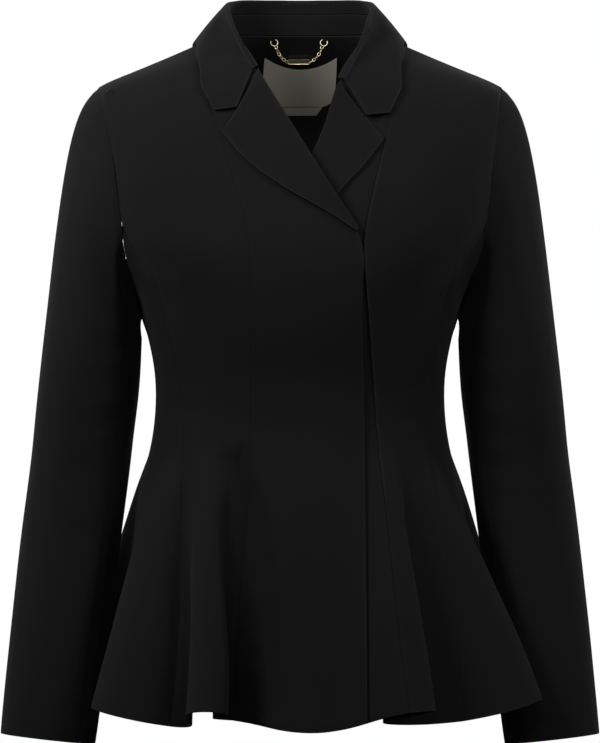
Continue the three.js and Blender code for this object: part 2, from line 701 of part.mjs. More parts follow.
function sleeve(side, loop, topName, underName) {
  const rows = sleevePoints(loop, side);
  const normals = ringNormals(rows);
  const grid = rows.map((row, r) => row.map((point, i) => ({
    point,
    normal: normals[r][i].clone().multiplyScalar(side),
  })));
  const count = loop.length;
  const part = (from, to) => grid.map((row) => {
    const spots = [];
    for (let i = from; i <= to; i += 1) spots.push(row[i % count]);
    return spots;
  });
  const pieces = [
    [topName, part(UNDER_SLEEVE_TO, count + UNDER_SLEEVE_FROM)],
    [underName, part(UNDER_SLEEVE_FROM, UNDER_SLEEVE_TO)],
  ];
  pieces.forEach(([name, spots]) => {
    const trimmed = copyGrid(spots);
    trimmed.forEach((row) => {
      const last = row.length - 1;
      const first = row[1].point.clone().sub(row[0].point).normalize();
      const final = row[last - 1].point.clone().sub(row[last].point).normalize();
      row[0].point.addScaledVector(first, SEAM / 2);
      row[last].point.addScaledVector(final, SEAM / 2);
    });
    wallFromGrid(name, trimmed, CLOTH, wool);
  });
}

// A place on a front by its distance across and its height, moved off the cloth
function onFront(place, across, z, lift) {
  const turn = turnAt(across, z);
  return place(turn, z).addScaledVector(normalOf(place, turn, z), lift);
}

// A point between the spots of a piece's grid, by row and column, moved along its normal
function between(grid, row, column, lift) {
  const r = THREE.MathUtils.clamp(Math.floor(row), 0, grid.length - 2);
  const c = THREE.MathUtils.clamp(Math.floor(column), 0, grid[0].length - 2);
  const blend = (key) => {
    const upper = grid[r][c][key].clone().lerp(grid[r][c + 1][key], column - c);
    const lower = grid[r + 1][c][key].clone().lerp(grid[r + 1][c + 1][key], column - c);
    return upper.lerp(lower, row - r);
  };
  return blend('point').addScaledVector(blend('normal').normalize(), lift);
}

// The point of a piece at this distance across and height, moved off it by the lift. It is
// found by steps along the grid, each a share of what is still missing.
function onPiece(grid, across, z, lift) {
  let row = 1;
  let column = grid[0].length / 2;
  for (let step = 0; step < SEARCH.steps; step += 1) {
    const here = between(grid, row, column, 0);
    const right = between(grid, row, column + SEARCH.span, 0).sub(here);
    const down = between(grid, row + SEARCH.span, column, 0).sub(here);
    right.divideScalar(SEARCH.span);
    down.divideScalar(SEARCH.span);
    const size = right.x * down.z - down.x * right.z;
    const x = across - here.x;
    const up = z - here.z;
    column += SEARCH.share * THREE.MathUtils.clamp((x * down.z - up * down.x) / size, -1, 1);
    row += SEARCH.share * THREE.MathUtils.clamp((up * right.x - x * right.z) / size, -1, 1);
  }
  return between(grid, row, column, lift);
}

// A lapel lies on its front's points, moved out, and stands higher along the roll
function lapel(name, table, front) {
  const layer = (depth) => table.map((row) => {
    const points = [];
    for (let i = 0; i <= LAPEL_COLUMNS; i += 1) {
      const share = i / LAPEL_COLUMNS;
      const lift = LAPEL_LIFT + row.puff * (1 - share) ** 2 + depth;
      points.push(onPiece(front, mix(row.rollX, row.edgeX, share),
        mix(row.rollZ, row.edgeZ, share), lift));
    }
    return points;
  });
  closedWall(name, layer(DOUBLED), layer(0), wool);
}

// One side's measures at a share of the way from the collar's front end to the centre back
function collarStation(side, share) {
  const table = [...COLLAR_FRONT[side], ...COLLAR_BACK];
  const rows = table.map((row, i) => ({ ...row, share: i / (table.length - 1) }));
  const station = {};
  Object.keys(table[0]).forEach((column) => {
    station[column] = through(rows, 'share', column, share);
  });
  return station;
}

// The neck seam, the fold and the leaf's edge at a share, all drawn on the wearer's right
function collarSection(side, share) {
  const station = collarStation(side, share);
  const seam = cloth(-station.seamTurn, station.seamZ);
  const bodyNormal = normalOf(cloth, -station.seamTurn, station.seamZ);
  const edgeNormal = normalOf(cloth, -station.edgeTurn, station.edgeZ);
  const edge = cloth(-station.edgeTurn, station.edgeZ)
    .addScaledVector(edgeNormal, LAPEL_LIFT + DOUBLED);
  const upright = THREE.MathUtils.clamp(station.stand / UPRIGHT_FROM, 0, 1);
  const rise = bodyNormal.clone().multiplyScalar(1 - upright).addScaledVector(UP, upright);
  const inward = new THREE.Vector3(-seam.x, -seam.y, 0).normalize();
  rise.addScaledVector(inward, station.tuck / TUCK_HEIGHT).normalize();
  const outward = edge.clone().sub(seam);
  outward.addScaledVector(rise, -outward.dot(rise)).normalize();
  const base = seam.clone().addScaledVector(rise, SEAM);
  const radius = Math.min(FOLD_RADIUS, station.stand / 2 + 1);
  return { station, base, rise, outward, edge, edgeNormal, radius, shift: NOTCH_SHIFT[side] };
}

function foldPoint(section, angle) {
  const { base, rise, outward, radius, station } = section;
  return base.clone()
    .addScaledVector(rise, station.stand - radius + radius * Math.sin(angle))
    .addScaledVector(outward, radius - radius * Math.cos(angle));
}

// Points of the leaf from the stand's seam over the fold and down to its edge
function leafPoints(section) {
  const { base, rise, edge, edgeNormal, station, shift } = section;
  const seam = base.clone().addScaledVector(rise, station.stand * STAND_SHARE + STAND_GAP);
  const points = [seam];
  FOLD_TURNS.forEach((turn) => points.push(foldPoint(section, turn * Math.PI)));
  const top = points[points.length - 1];
  LEAF_SHARES.forEach((share) => {
    const point = top.clone().lerp(edge, share);
    const notch = station.bend * Math.min(share / NOTCH_SHARE, (1 - share) / (1 - NOTCH_SHARE));
    point.x += shift.across * notch;
    point.z += shift.up * notch;
    const bulge = 4 * share * (1 - share);
    const lying = onFront(cloth, point.x, point.z, LAPEL_LIFT + DOUBLED + bulge);
    point.addScaledVector(edgeNormal, LEAF_SWELL * bulge);
    point.y = mix(point.y, Math.min(lying.y, point.y + LEAF_REACH), station.chest);
    points.push(point);
  });
  points.push(edge.clone());
  return points;
}

function standPoints(section) {
  const { base, rise, station } = section;
  return [0, 0.5, 1].map(
    (share) => base.clone().addScaledVector(rise, station.stand * STAND_SHARE * share));
}

// Stations of the whole collar, the wearer's right first and then the left, mirrored
function collarRows(pointsOf, start) {
  const half = COLLAR_STATIONS / 2;
  const rowsOf = (side) => {
    const rows = [];
    for (let i = 0; i <= half; i += 1) {
      rows.push(pointsOf(collarSection(side, mix(start, 1, i / half))));
    }
    return rows;
  };
  const left = rowsOf('left').slice(0, half).reverse().map((row) => row.map(
    (point) => new THREE.Vector3(-point.x, point.y, point.z)));
  return [...rowsOf('right'), ...left];
}

function sheetNormals(rows) {
  return rows.map((row, r) => row.map((point, c) => {
    const along = rows[Math.min(r + 1, rows.length - 1)][c].clone()
      .sub(rows[Math.max(r - 1, 0)][c]);
    const across = row[Math.min(c + 1, row.length - 1)].clone().sub(row[Math.max(c - 1, 0)]);
    return along.cross(across).normalize();
  }));
}

function collarPiece(name, pointsOf, start, thickness) {
  const rows = collarRows(pointsOf, start);
  const normals = sheetNormals(rows);
  const grid = rows.map((row, r) => row.map((point, c) => ({ point, normal: normals[r][c] })));
  wallFromGrid(name, grid, thickness, wool);
}

// The lining lies inside the backs on their own points
function lining(name, grid) {
  const layer = (depth) => grid.map((row) => row.map(
    ({ point, normal }) => point.clone().addScaledVector(normal, -depth)));
  closedWall(name, layer(LINING_DEPTH + LINING), layer(LINING_DEPTH), satin);
}

// The middle of both backs as one grid from the wearer's left to right
function backGrid(right, left) {
  return left.slice(0, LINING_ROWS).map((row, r) => [
    ...row.slice(BACK_COLUMNS[0]),
    ...right[r].slice(1, BACK_COLUMNS[1] + 1),
  ]);
}

// A thin sheet on the lining, from rows of its half width and middle
function insideSheet(name, rows, columns, depth, thickness, material) {
  const layer = (into) => rows.map((row) => {
    const points = [];
    for (let i = 0; i <= columns; i += 1) {
      const share = (2 * i) / columns - 1;
      const z = row.z - (row.dip || 0) * (1 - share * share);
      points.push(onPiece(upperBack, row.middle + row.half * share, z, -into));
    }
    return points;
  });
  closedWall(name, layer(depth + thickness), layer(depth), material);
}

// Turns geometry drawn in its own x across and y up so that it lies against the back
function against(geometry, across, z, depth, roll) {
  const middle = onPiece(upperBack, across, z, -depth);
  const inward = onPiece(upperBack, across, z, -depth - 1).sub(middle).normalize();
  const sideways = UP.clone().cross(inward).normalize().negate();
  const upward = inward.clone().cross(sideways);
  if (upward.z < 0) upward.negate();
  const flat = new THREE.Matrix4().makeBasis(upward.clone().cross(inward), upward, inward);
  geometry.rotateZ(roll);
  geometry.applyMatrix4(flat);
  geometry.translate(middle.x, middle.y, middle.z);
  return geometry;
}

const wasm = await Module();
wasm.setup();

function toSolid(geometry) {
  geometry.deleteAttribute('normal');
  geometry.deleteAttribute('uv');
  const merged = mergeVertices(geometry, 1e-4);
  return new wasm.Manifold(new wasm.Mesh({
    numProp: 3,
    vertProperties: new Float32Array(merged.attributes.position.array),
    triVerts: new Uint32Array(merged.index.array),
  }));
}

function fromSolid(solid) {
  const mesh = solid.getMesh();
  const geometry = new THREE.BufferGeometry();
  geometry.setAttribute('position', new THREE.BufferAttribute(mesh.vertProperties, 3));
  geometry.setIndex(new THREE.BufferAttribute(mesh.triVerts, 1));
  geometry.computeVertexNormals();
  return geometry;
}

// One link of the chain, an oval ring turned about its own length
function link(twist) {
  const geometry = new THREE.TorusGeometry(LINK.wide, LINK.wire, 5, 8);
  geometry.scale(1, LINK.long / LINK.wide, 1);
  geometry.rotateY(twist);
  return geometry;
}

// Links from a ring to the end of the bar, fused where they hold each other
function chain(name, side) {
  const from = {
    across: RING.middle + side * (RING.across - CHAIN.inRing),
    z: RING.z - RING.radius - CHAIN.underRing,
  };
  const to = {
    across: BAR.across + side * (BAR.half + CHAIN.besideBar),
    z: BAR.z + CHAIN.upBar,
  };
  const roll = Math.atan2(to.across - from.across, from.z - to.z);
  let solid = null;
  for (let i = 0; i < LINK.count; i += 1) {
    const share = i / (LINK.count - 1);
    const twist = i % 2 === 0 ? LINK.twist : Math.PI / 2 - LINK.twist;
    const geometry = against(link(twist), mix(from.across, to.across, share),
      mix(from.z, to.z, share), HANGER_DEPTH + LINK.depth, roll);
    solid = solid ? solid.add(toSolid(geometry)) : toSolid(geometry);
  }
  addMesh(name, fromSolid(solid), gold);
}

function hanger() {
  [-1, 1].forEach((side) => {
    const word = side < 0 ? 'right' : 'left';
    const ring = new THREE.TorusGeometry(RING.radius, RING.wire, 6, 14);
    addMesh(`hanger_ring_${word}`, against(ring, RING.middle + side * RING.across, RING.z,
      LABEL_DEPTH + RING.wire + RING.clear, 0), gold);
    chain(`hanger_chain_${word}`, side);
  });
  const bar = new THREE.BoxGeometry(2 * BAR.half, BAR.high, BAR.thick);
  addMesh('hanger_bar',
    against(bar, BAR.across, BAR.z, HANGER_DEPTH + BAR.thick / 2, 0), gold);
}

// Guides of the seams
const princessRight = frontSeam(PRINCESS_RIGHT, PRINCESS_RIGHT, PRINCESS_RIGHT[0].z);
const princessLeft = frontSeam(PRINCESS_LEFT, PRINCESS_LEFT, PRINCESS_LEFT[0].z);
const sideFrontRight = frontSeam(ARMHOLE_FRONT_RIGHT, SIDE_FRONT_RIGHT, SHOULDER_TIP);
const sideFrontLeft = frontSeam(ARMHOLE_FRONT_LEFT, SIDE_FRONT_LEFT, SHOULDER_TIP);
const frontEdgeRight = frontSeam(FRONT_EDGE_RIGHT, FRONT_EDGE_RIGHT, NECK_EDGE);
const frontEdgeLeft = frontSeam(FRONT_EDGE_LEFT, FRONT_EDGE_LEFT, NECK_EDGE);
const sideBack = (side) => backSeam(ARMHOLE_BACK, SIDE_BACK, SHOULDER_TIP, side);
const blade = (side) => backSeam(BLADE, BLADE, NECK_EDGE, side);
const centreBack = (side) => backSeam(CENTRE_BACK, CENTRE_BACK, NECK_EDGE, side);

const frontR = bodyPiece('front_right', [princessRight, frontEdgeRight],
  [FRONT_COLUMNS]);
const frontL = bodyPiece('front_left', [frontEdgeLeft, princessLeft],
  [FRONT_COLUMNS], underCloth);
const sideFrontR = bodyPiece('side_front_right', [sideFrontRight, princessRight],
  [SIDE_FRONT_COLUMNS.right]);
const sideFrontL = bodyPiece('side_front_left', [princessLeft, sideFrontLeft],
  [SIDE_FRONT_COLUMNS.left]);
const sideR = sidePiece('side_right', sideBack(-1), sideFrontRight, SIDE_COLUMNS, -1);
const sideL = sidePiece('side_left', sideFrontLeft, sideBack(1), SIDE_COLUMNS, 1);
const backR = bodyPiece('back_right', [centreBack(-1), blade(-1), sideBack(-1)],
  [...BACK_COLUMNS].reverse());
const backL = bodyPiece('back_left', [sideBack(1), blade(1), centreBack(1)],
  BACK_COLUMNS);
const upperBack = backGrid(backR, backL);

// The columns that lie on each armhole, and those beside them
const backLast = BACK_COLUMNS[0] + BACK_COLUMNS[1];
const frontLast = SIDE_FRONT_COLUMNS.left;
const rightEdge = { front: 0, frontNext: 1, back: backLast, backNext: backLast - 1, reverse: true };
const leftEdge = { front: frontLast, frontNext: frontLast - 1, back: 0, backNext: 1, reverse: false };
sleeve(-1, armholeLoop(sideFrontR, sideR, backR, rightEdge), 'top_sleeve_right',
  'under_sleeve_right');
sleeve(1, armholeLoop(sideFrontL, sideL, backL, leftEdge), 'top_sleeve_left',
  'under_sleeve_left');

lapel('lapel_right', LAPEL_RIGHT, frontR);
lapel('lapel_left', LAPEL_LEFT, frontL);
collarPiece('collar_leaf', leafPoints, 0, DOUBLED);
collarPiece('collar_stand', standPoints, STAND_STARTS, STAND_WALL);
lining('back_lining', upperBack);
insideSheet('neck_label', LABEL_ROWS, LABEL_COLUMNS, LABEL_DEPTH, LABEL, woven);
insideSheet('care_label', CARE_ROWS, CARE_COLUMNS, LABEL_DEPTH, LABEL, woven);
hanger();

export default blazer;
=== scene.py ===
"""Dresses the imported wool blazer: cloth shells with seams and soft creases, satin lining, blank
labels, the gold hanger loop, and a pale studio. Metres, +Z up, the front faces -Y."""

import json
import math
from collections import namedtuple

import bmesh
import bpy
import numpy as np
from mathutils import Matrix, Vector, kdtree, noise
from mathutils.bvhtree import BVHTree

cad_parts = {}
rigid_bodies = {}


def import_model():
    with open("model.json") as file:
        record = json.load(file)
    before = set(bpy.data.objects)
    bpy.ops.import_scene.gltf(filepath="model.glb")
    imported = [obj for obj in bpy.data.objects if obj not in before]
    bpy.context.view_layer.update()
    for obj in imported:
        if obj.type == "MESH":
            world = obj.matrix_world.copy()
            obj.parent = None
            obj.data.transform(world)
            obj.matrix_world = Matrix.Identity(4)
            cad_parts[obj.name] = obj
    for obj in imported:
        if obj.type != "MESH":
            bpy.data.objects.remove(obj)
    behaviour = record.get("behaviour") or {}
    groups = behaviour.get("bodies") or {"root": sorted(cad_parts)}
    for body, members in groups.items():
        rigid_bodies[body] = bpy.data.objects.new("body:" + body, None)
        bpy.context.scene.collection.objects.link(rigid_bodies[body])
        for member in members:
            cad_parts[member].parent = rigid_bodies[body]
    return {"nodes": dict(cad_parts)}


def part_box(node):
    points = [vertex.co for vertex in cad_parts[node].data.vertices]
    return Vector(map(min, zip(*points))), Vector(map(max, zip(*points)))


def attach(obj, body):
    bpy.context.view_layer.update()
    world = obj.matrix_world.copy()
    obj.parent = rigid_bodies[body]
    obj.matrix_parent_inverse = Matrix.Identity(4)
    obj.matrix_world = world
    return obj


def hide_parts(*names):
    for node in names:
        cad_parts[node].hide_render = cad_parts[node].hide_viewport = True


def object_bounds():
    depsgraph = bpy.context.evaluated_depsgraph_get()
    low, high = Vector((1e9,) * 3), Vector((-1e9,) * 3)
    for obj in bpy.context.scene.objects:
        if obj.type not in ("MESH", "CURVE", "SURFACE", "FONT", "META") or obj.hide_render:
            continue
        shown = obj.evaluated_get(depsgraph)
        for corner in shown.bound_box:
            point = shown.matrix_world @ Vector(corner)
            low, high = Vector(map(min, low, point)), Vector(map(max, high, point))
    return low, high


bl_info = {
    "name": "Wool Blazer",
    "version": (1, 0, 0),
    "blender": (4, 5, 0),
    "location": "3D View > Sidebar > Blazer",
    "description": "Builds the cloth, lining, labels, hanger loop and studio of a flared wool blazer",
    "category": "Add Mesh",
}

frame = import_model()
CAD_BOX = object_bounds()
MM = 0.001
BODY = "root"

# Cut of each cloth piece before sewing: width, length and flat area as a share of both
Cut = namedtuple("Cut", "width length share held")
CUTS = {
    "front_right": Cut(0.165, 0.645, 0.63, "draped"),
    "front_left": Cut(0.125, 0.645, 0.71, "draped"),
    "side_front_right": Cut(0.185, 0.640, 0.56, "draped"),
    "side_front_left": Cut(0.165, 0.640, 0.61, "draped"),
    "side_right": Cut(0.260, 0.475, 0.64, "draped"),
    "side_left": Cut(0.250, 0.470, 0.61, "draped"),
    "back_right": Cut(0.270, 0.640, 0.60, "draped"),
    "back_left": Cut(0.270, 0.640, 0.595, "draped"),
    "top_sleeve_right": Cut(0.235, 0.610, 0.79, "draped"),
    "top_sleeve_left": Cut(0.235, 0.610, 0.78, "draped"),
    "under_sleeve_right": Cut(0.100, 0.460, 0.75, "draped"),
    "under_sleeve_left": Cut(0.100, 0.460, 0.735, "draped"),
    "lapel_right": Cut(0.060, 0.180, 0.60, "folded"),
    "lapel_left": Cut(0.055, 0.140, 0.60, "folded"),
    "collar_leaf": Cut(0.420, 0.090, 0.79, "folded"),
    "collar_stand": Cut(0.300, 0.020, 0.92, "draped"),
    "back_lining": Cut(0.290, 0.210, 0.90, "hung"),
    "neck_label": Cut(0.070, 0.049, 0.79, "laid"),
    "care_label": Cut(0.043, 0.010, 0.70, "laid"),
}

# Thickness of each cloth piece
WALLS = {node: 2.0 * MM for node in CUTS}
WALLS.update({
    "lapel_right": 2.6 * MM, "lapel_left": 2.6 * MM, "collar_leaf": 2.6 * MM,
    "collar_stand": 1.4 * MM, "back_lining": 1.0 * MM, "neck_label": 0.7 * MM,
    "care_label": 0.7 * MM,
})
# Panels that are sewn to each other, the two that only lap, how near a seam's rims lie, and up to
# which gap a seam is drawn fully and partly shut
BODY_PANELS = [
    "front_right", "front_left", "side_front_right", "side_front_left", "side_right", "side_left",
    "back_right", "back_left",
]
SLEEVE_PANELS = [
    "top_sleeve_right", "top_sleeve_left", "under_sleeve_right", "under_sleeve_left",
]
PANELS = BODY_PANELS + SLEEVE_PANELS
LAPPING = {"front_right", "front_left"}
SEAM_REACH = 1.6 * MM
SEAM_GAP = 1.3 * MM
SEAM_FADE = 2.6 * MM

# How a solid's mesh is read: points this near are one, and triangles pair up within this bend
MERGE = 0.02 * MM
PAIR_BEND = math.radians(50)
ANY_SHAPE = math.radians(180)
PAIR_TOPOLOGY = 1.2
# A face narrower than this share of the wall belongs to its edge, which is sharp past these bends
NARROW = 1.35
BEND_INTO_EDGE = math.radians(35)
BEND_WITHIN_EDGE = math.radians(40)
# Share of the form's loss by smoothing that is given back, and the most that an edge is rounded
FORM_KEPT = 0.9
ROUND_SHARE = 0.36
# Steps along a rim, how far a seam and a free edge are felt, where the cloth beside a seam is
# pushed out, and how wide the painted highlight along a free edge is
RIM_STEP = 2.5 * MM
SEAM_FELT = 12 * MM
EDGE_FELT = 6 * MM
PRESS_PLACE = 5.5 * MM
PRESS_WIDTH = 2.2 * MM
EDGE_HIGHLIGHT_WIDTH = 2.4 * MM

# What outward means: half the body's width and depth, and the middle line of the left sleeve
BODY_HALF_WIDTH = 0.14
BODY_HALF_DEPTH = 0.10
SLEEVE_TOP = (0.176, 0.0, -0.10)
SLEEVE_CUFF = (0.2315, -0.019, -0.631)
TINY = 1e-9
FAR = 1e3

# Soft troughs (depth above 0) and ridges (below 0) from start over middle to end, in millimetres.
# A crease is laid on the nearest cloth. It has a slight ridge on both sides and fades at its ends.
CREASE_STEPS = 24
CREASE_RIDGE = 0.9
CREASE_FADE = 0.7
CREASE_MARGIN = 3
Crease = namedtuple("Crease", "start middle end depth width")
SLEEVE_CREASES = {
    -1: [
        Crease((-150, -22, -262), (-172, -42, -272), (-196, -48, -268), 1.5, 9),
        Crease((-152, -10, -292), (-170, -38, -306), (-200, -44, -302), 1.2, 11),
        Crease((-158, -18, -330), (-178, -40, -346), (-206, -40, -340), 1.6, 10),
        Crease((-160, -8, -352), (-180, -34, -362), (-202, -38, -372), 1.0, 8),
        Crease((-166, -14, -384), (-190, -36, -380), (-222, -30, -394), 1.3, 12),
        Crease((-178, -30, -440), (-200, -40, -452), (-226, -36, -448), 0.8, 13),
        Crease((-246, 20, -330), (-240, 44, -348), (-214, 56, -352), 1.2, 11),
        Crease((-250, 14, -372), (-236, 44, -376), (-204, 56, -368), 1.4, 10),
        Crease((-196, -54, -130), (-202, -56, -180), (-198, -54, -232), -1.0, 12),
        Crease((-222, -46, -560), (-228, -52, -590), (-230, -56, -628), 0.7, 14),
        Crease((-206, 40, -500), (-214, 34, -560), (-218, 26, -620), 0.9, 16),
    ],
    1: [
        Crease((151, -20, -270), (174, -42, -276), (198, -48, -284), 1.3, 10),
        Crease((156, -12, -300), (176, -40, -316), (204, -42, -310), 1.5, 9),
        Crease((158, -10, -342), (180, -38, -350), (210, -38, -362), 1.1, 12),
        Crease((164, -16, -370), (186, -36, -384), (214, -36, -380), 1.5, 10),
        Crease((172, -22, -408), (192, -38, -412), (216, -36, -424), 0.9, 12),
        Crease((248, 18, -344), (238, 44, -356), (212, 56, -348), 1.3, 10),
        Crease((250, 16, -390), (236, 42, -388), (208, 54, -400), 1.1, 12),
        Crease((198, -54, -122), (204, -56, -172), (200, -54, -226), -0.9, 13),
        Crease((218, -46, -540), (226, -50, -584), (234, -56, -622), 0.8, 13),
        Crease((204, 42, -486), (212, 36, -548), (222, 26, -606), 0.8, 15),
        Crease((189, -40, -596), (188, -42, -612), (188, -44, -634), 1.2, 5),
    ],
}
BODY_CREASES = [
    Crease((-160, -52, -176), (-136, -80, -196), (-112, -98, -204), 1.3, 11),
    Crease((-158, -34, -196), (-134, -70, -222), (-112, -88, -236), 1.0, 12),
    Crease((-150, -10, -226), (-138, -46, -250), (-120, -70, -262), 0.9, 10),
    Crease((-134, -20, -296), (-116, -62, -304), (-84, -84, -300), 0.7, 13),
    Crease((-132, -10, -322), (-112, -62, -326), (-78, -84, -334), 0.8, 12),
    Crease((165, -48, -182), (142, -78, -200), (116, -98, -212), 1.2, 12),
    Crease((160, -30, -204), (138, -66, -228), (114, -86, -240), 1.1, 10),
    Crease((148, -8, -234), (138, -46, -256), (122, -68, -272), 0.8, 11),
    Crease((134, -18, -300), (118, -62, -310), (92, -82, -306), 0.8, 12),
    Crease((132, -12, -330), (114, -60, -332), (84, -84, -342), 0.7, 14),
    Crease((-120, 50, -300), (-80, 64, -306), (-30, 68, -300), 1.1, 12),
    Crease((-124, 44, -324), (-76, 62, -330), (-20, 66, -338), 1.0, 10),
    Crease((122, 48, -306), (84, 62, -314), (26, 68, -310), 1.1, 11),
    Crease((120, 46, -336), (78, 64, -340), (34, 68, -332), 0.9, 12),
    Crease((-146, 52, -196), (-120, 72, -214), (-84, 82, -226), 1.2, 13),
    Crease((148, 52, -190), (122, 72, -212), (88, 82, -222), 1.1, 12),
    Crease((-60, 76, -60), (-58, 88, -120), (-50, 88, -190), -0.8, 22),
    Crease((62, 76, -64), (58, 88, -126), (52, 88, -196), -0.7, 24),
    Crease((-68, -104, -364), (-47, -112, -420), (-43, -124, -616), 11.0, 22),
    Crease((-109, -84, -366), (-111, -92, -480), (-118, -100, -620), 4.0, 9),
    Crease((-122, -78, -410), (-118, -84, -466), (-114, -88, -528), 1.6, 15),
    Crease((-150, -30, -100), (-146, -46, -130), (-150, -50, -162), 0.8, 12),
    Crease((158, -30, -96), (152, -46, -128), (156, -48, -160), 0.7, 12),
]
LINING_CREASES = [
    Crease((0, 58, 12), (1, 84, -50), (2, 92, -140), -1.0, 5),
    Crease((-38, 50, 10), (-44, 76, -40), (-46, 88, -120), 0.7, 8),
    Crease((40, 50, 10), (46, 76, -44), (44, 88, -126), 0.6, 9),
]
RIPPLE_HEIGHT = 0.35 * MM
RIPPLE_LENGTH = 70 * MM

# Hanger loop in millimetres: the open rings, the links of each chain and the bar. Angles are in
# degrees, the gap counted from the side that faces the bar. All of it faces away from the lining.
RING_RADIUS = 3.25
RING_WIRE = 0.46
RING_GAP = (75, 150)
RING_STEPS = 36
RING_SECTION = 10
OFF_LINING = (0.0, -1.0, 0.35)
LINK_COUNT = 6
LINK_LONG = 1.7
LINK_WIDE = 1.3
LINK_WIRE = 0.34
LINK_TWISTS = (8, -64)
LINK_STEPS = 20
LINK_SECTION = 8
CHAIN_INSET = 1.8
CHAIN_DROP = 1.0
CHAIN_SAG = 2.4
CHAIN_END = 0.7
BAR_CORNER = 1.7
BAR_CORNER_STEPS = 6
BAR_RIM = 0.38
BAR_SUNK = 0.3
BAR_EDGE = 0.14
BAR_SHARP = math.radians(30)

# Stitches that hold the labels, in millimetres, the share of a stitch that shows, and how many
# are left out at each end of a row
STITCH = 2.2
STITCH_SHOWN = 0.62
STITCH_ENDS = 3
STITCH_THICK = 0.22
STITCH_INSET = 1.6
STITCH_LIFT = 0.12
STITCH_SIDES = 6

# The picture that the camera frames, in pixels and millimetres
PICTURE_HEIGHT = 743
PICTURE_WIDTH = 600
PIXEL = 0.92
ORIGIN_ROW = 52
SENSOR = 36.0
VIEW_END = 60.0
FLOOR_SIDES = 96
PAPER_GLOW = 0.55

# Soft lamps: where they stand, how high over the garment's middle they aim, and their size
Lamp = namedtuple("Lamp", "name group place aim_up size")
LAMPS = (
    Lamp("key", "key", (-0.95, -0.80, 0.72), 0.22, (0.5, 0.5)),
    Lamp("fill", "fill", (0.95, -0.85, 0.75), 0.25, (0.6, 0.6)),
    Lamp("front", "front", (0.0, -1.7, 0.62), 0.30, (0.35, 0.35)),
    Lamp("glint", "glint", (0.15, -1.3, 0.75), 0.30, (0.7, 0.3)),
    Lamp("edge_right", "edge", (-1.30, 0.35, 0.05), 0.05, (0.4, 1.4)),
    Lamp("edge_left", "edge", (1.30, 0.35, 0.05), 0.05, (0.4, 1.4)),
    Lamp("back_right", "back", (-0.9, 1.6, 0.55), 0.05, (0.9, 1.1)),
    Lamp("back_left", "back", (0.9, 1.6, 0.55), 0.05, (0.9, 1.1)),
)


class ClothSizes(bpy.types.PropertyGroup):
    """Sizes that shape every cloth piece"""

    edge_round: bpy.props.FloatProperty(
        name="Edge rounding", description="How far the folded edges are rounded",
        default=0.75 * MM, min=0.0, unit="LENGTH")
    fineness: bpy.props.IntProperty(
        name="Fineness", description="How often each panel is subdivided", default=2, min=0, max=3)
    crease_share: bpy.props.FloatProperty(
        name="Creases", description="Share of the full depth of the creases",
        default=1.0, min=0.0, subtype="FACTOR")
    seam_press: bpy.props.FloatProperty(
        name="Seam press", description="How far the seam allowances push the cloth out beside a seam",
        default=0.3 * MM, unit="LENGTH")


class WoolLook(bpy.types.PropertyGroup):
    """Finish of the wool crepe"""

    colour: bpy.props.FloatVectorProperty(
        name="Colour", description="Colour of the wool", subtype="COLOR", size=3,
        default=(0.0125, 0.0122, 0.0126))
    # Painted highlight: a paler colour laid along the free edges in place of the sheen that light raises on
    # folded wool
    edge_highlight: bpy.props.FloatVectorProperty(
        name="Edge colour", description="Colour of the folded edges, where the nap catches light",
        subtype="COLOR", size=3, default=(0.034, 0.033, 0.034))
    nap: bpy.props.FloatProperty(
        name="Nap", description="Strength of the sheen", default=0.05, min=0.0, max=1.0,
        subtype="FACTOR")
    pebble: bpy.props.FloatProperty(
        name="Pebble size", description="Size of the crepe's pebbles", default=0.65 * MM,
        unit="LENGTH")


class LiningLook(bpy.types.PropertyGroup):
    """Finish of the satin lining"""

    colour: bpy.props.FloatVectorProperty(
        name="Colour", description="Colour of the lining", subtype="COLOR", size=3,
        default=(0.006, 0.006, 0.0065))
    rough: bpy.props.FloatProperty(
        name="Roughness", description="Roughness of the satin", default=0.42, min=0.0, max=1.0,
        subtype="FACTOR")


class LabelLook(bpy.types.PropertyGroup):
    """Finish of the blank labels"""

    colour: bpy.props.FloatVectorProperty(
        name="Colour", description="Colour of the woven labels", subtype="COLOR", size=3,
        default=(0.66, 0.615, 0.51))
    thread: bpy.props.FloatProperty(
        name="Thread width", description="Width of the label's threads", default=0.3 * MM,
        unit="LENGTH")


class MetalLook(bpy.types.PropertyGroup):
    """Finish of the hanger loop"""

    colour: bpy.props.FloatVectorProperty(
        name="Colour", description="Colour of the plating", subtype="COLOR", size=3,
        default=(0.94, 0.79, 0.50))
    rough: bpy.props.FloatProperty(
        name="Roughness", description="Roughness of the plating", default=0.30, min=0.0, max=1.0,
        subtype="FACTOR")


class StudioSizes(bpy.types.PropertyGroup):
    """Camera, floor and light of the studio"""

    distance: bpy.props.FloatProperty(
        name="Camera distance", description="From the camera to the garment", default=9.0,
        unit="LENGTH")
    floor_drop: bpy.props.FloatProperty(
        name="Floor drop", description="How far the floor lies below the hem", default=0.12,
        unit="LENGTH")
    floor_radius: bpy.props.FloatProperty(
        name="Floor radius", description="Radius of the round floor", default=2.7, unit="LENGTH")
    key: bpy.props.FloatProperty(
        name="Key light", description="Power of the large soft light on the wearer's right",
        default=8.6, unit="POWER")
    fill: bpy.props.FloatProperty(
        name="Fill light", description="Power of the light on the wearer's left", default=5.4,
        unit="POWER")
    front: bpy.props.FloatProperty(
        name="Front light", description="Power of the weak light that reaches into the neck",
        default=2.2, unit="POWER")
    glint: bpy.props.FloatProperty(
        name="Glint", description="Power of the light that only the hanger loop catches",
        default=9.0, unit="POWER")
    edge: bpy.props.FloatProperty(
        name="Edge lights", description="Power of each light beside the sleeves", default=2.4,
        unit="POWER")
    back: bpy.props.FloatProperty(
        name="Back lights", description="Power of each light behind the garment", default=4.5,
        unit="POWER")
    air: bpy.props.FloatProperty(
        name="Ambient", description="Strength of the even light all round", default=0.035)


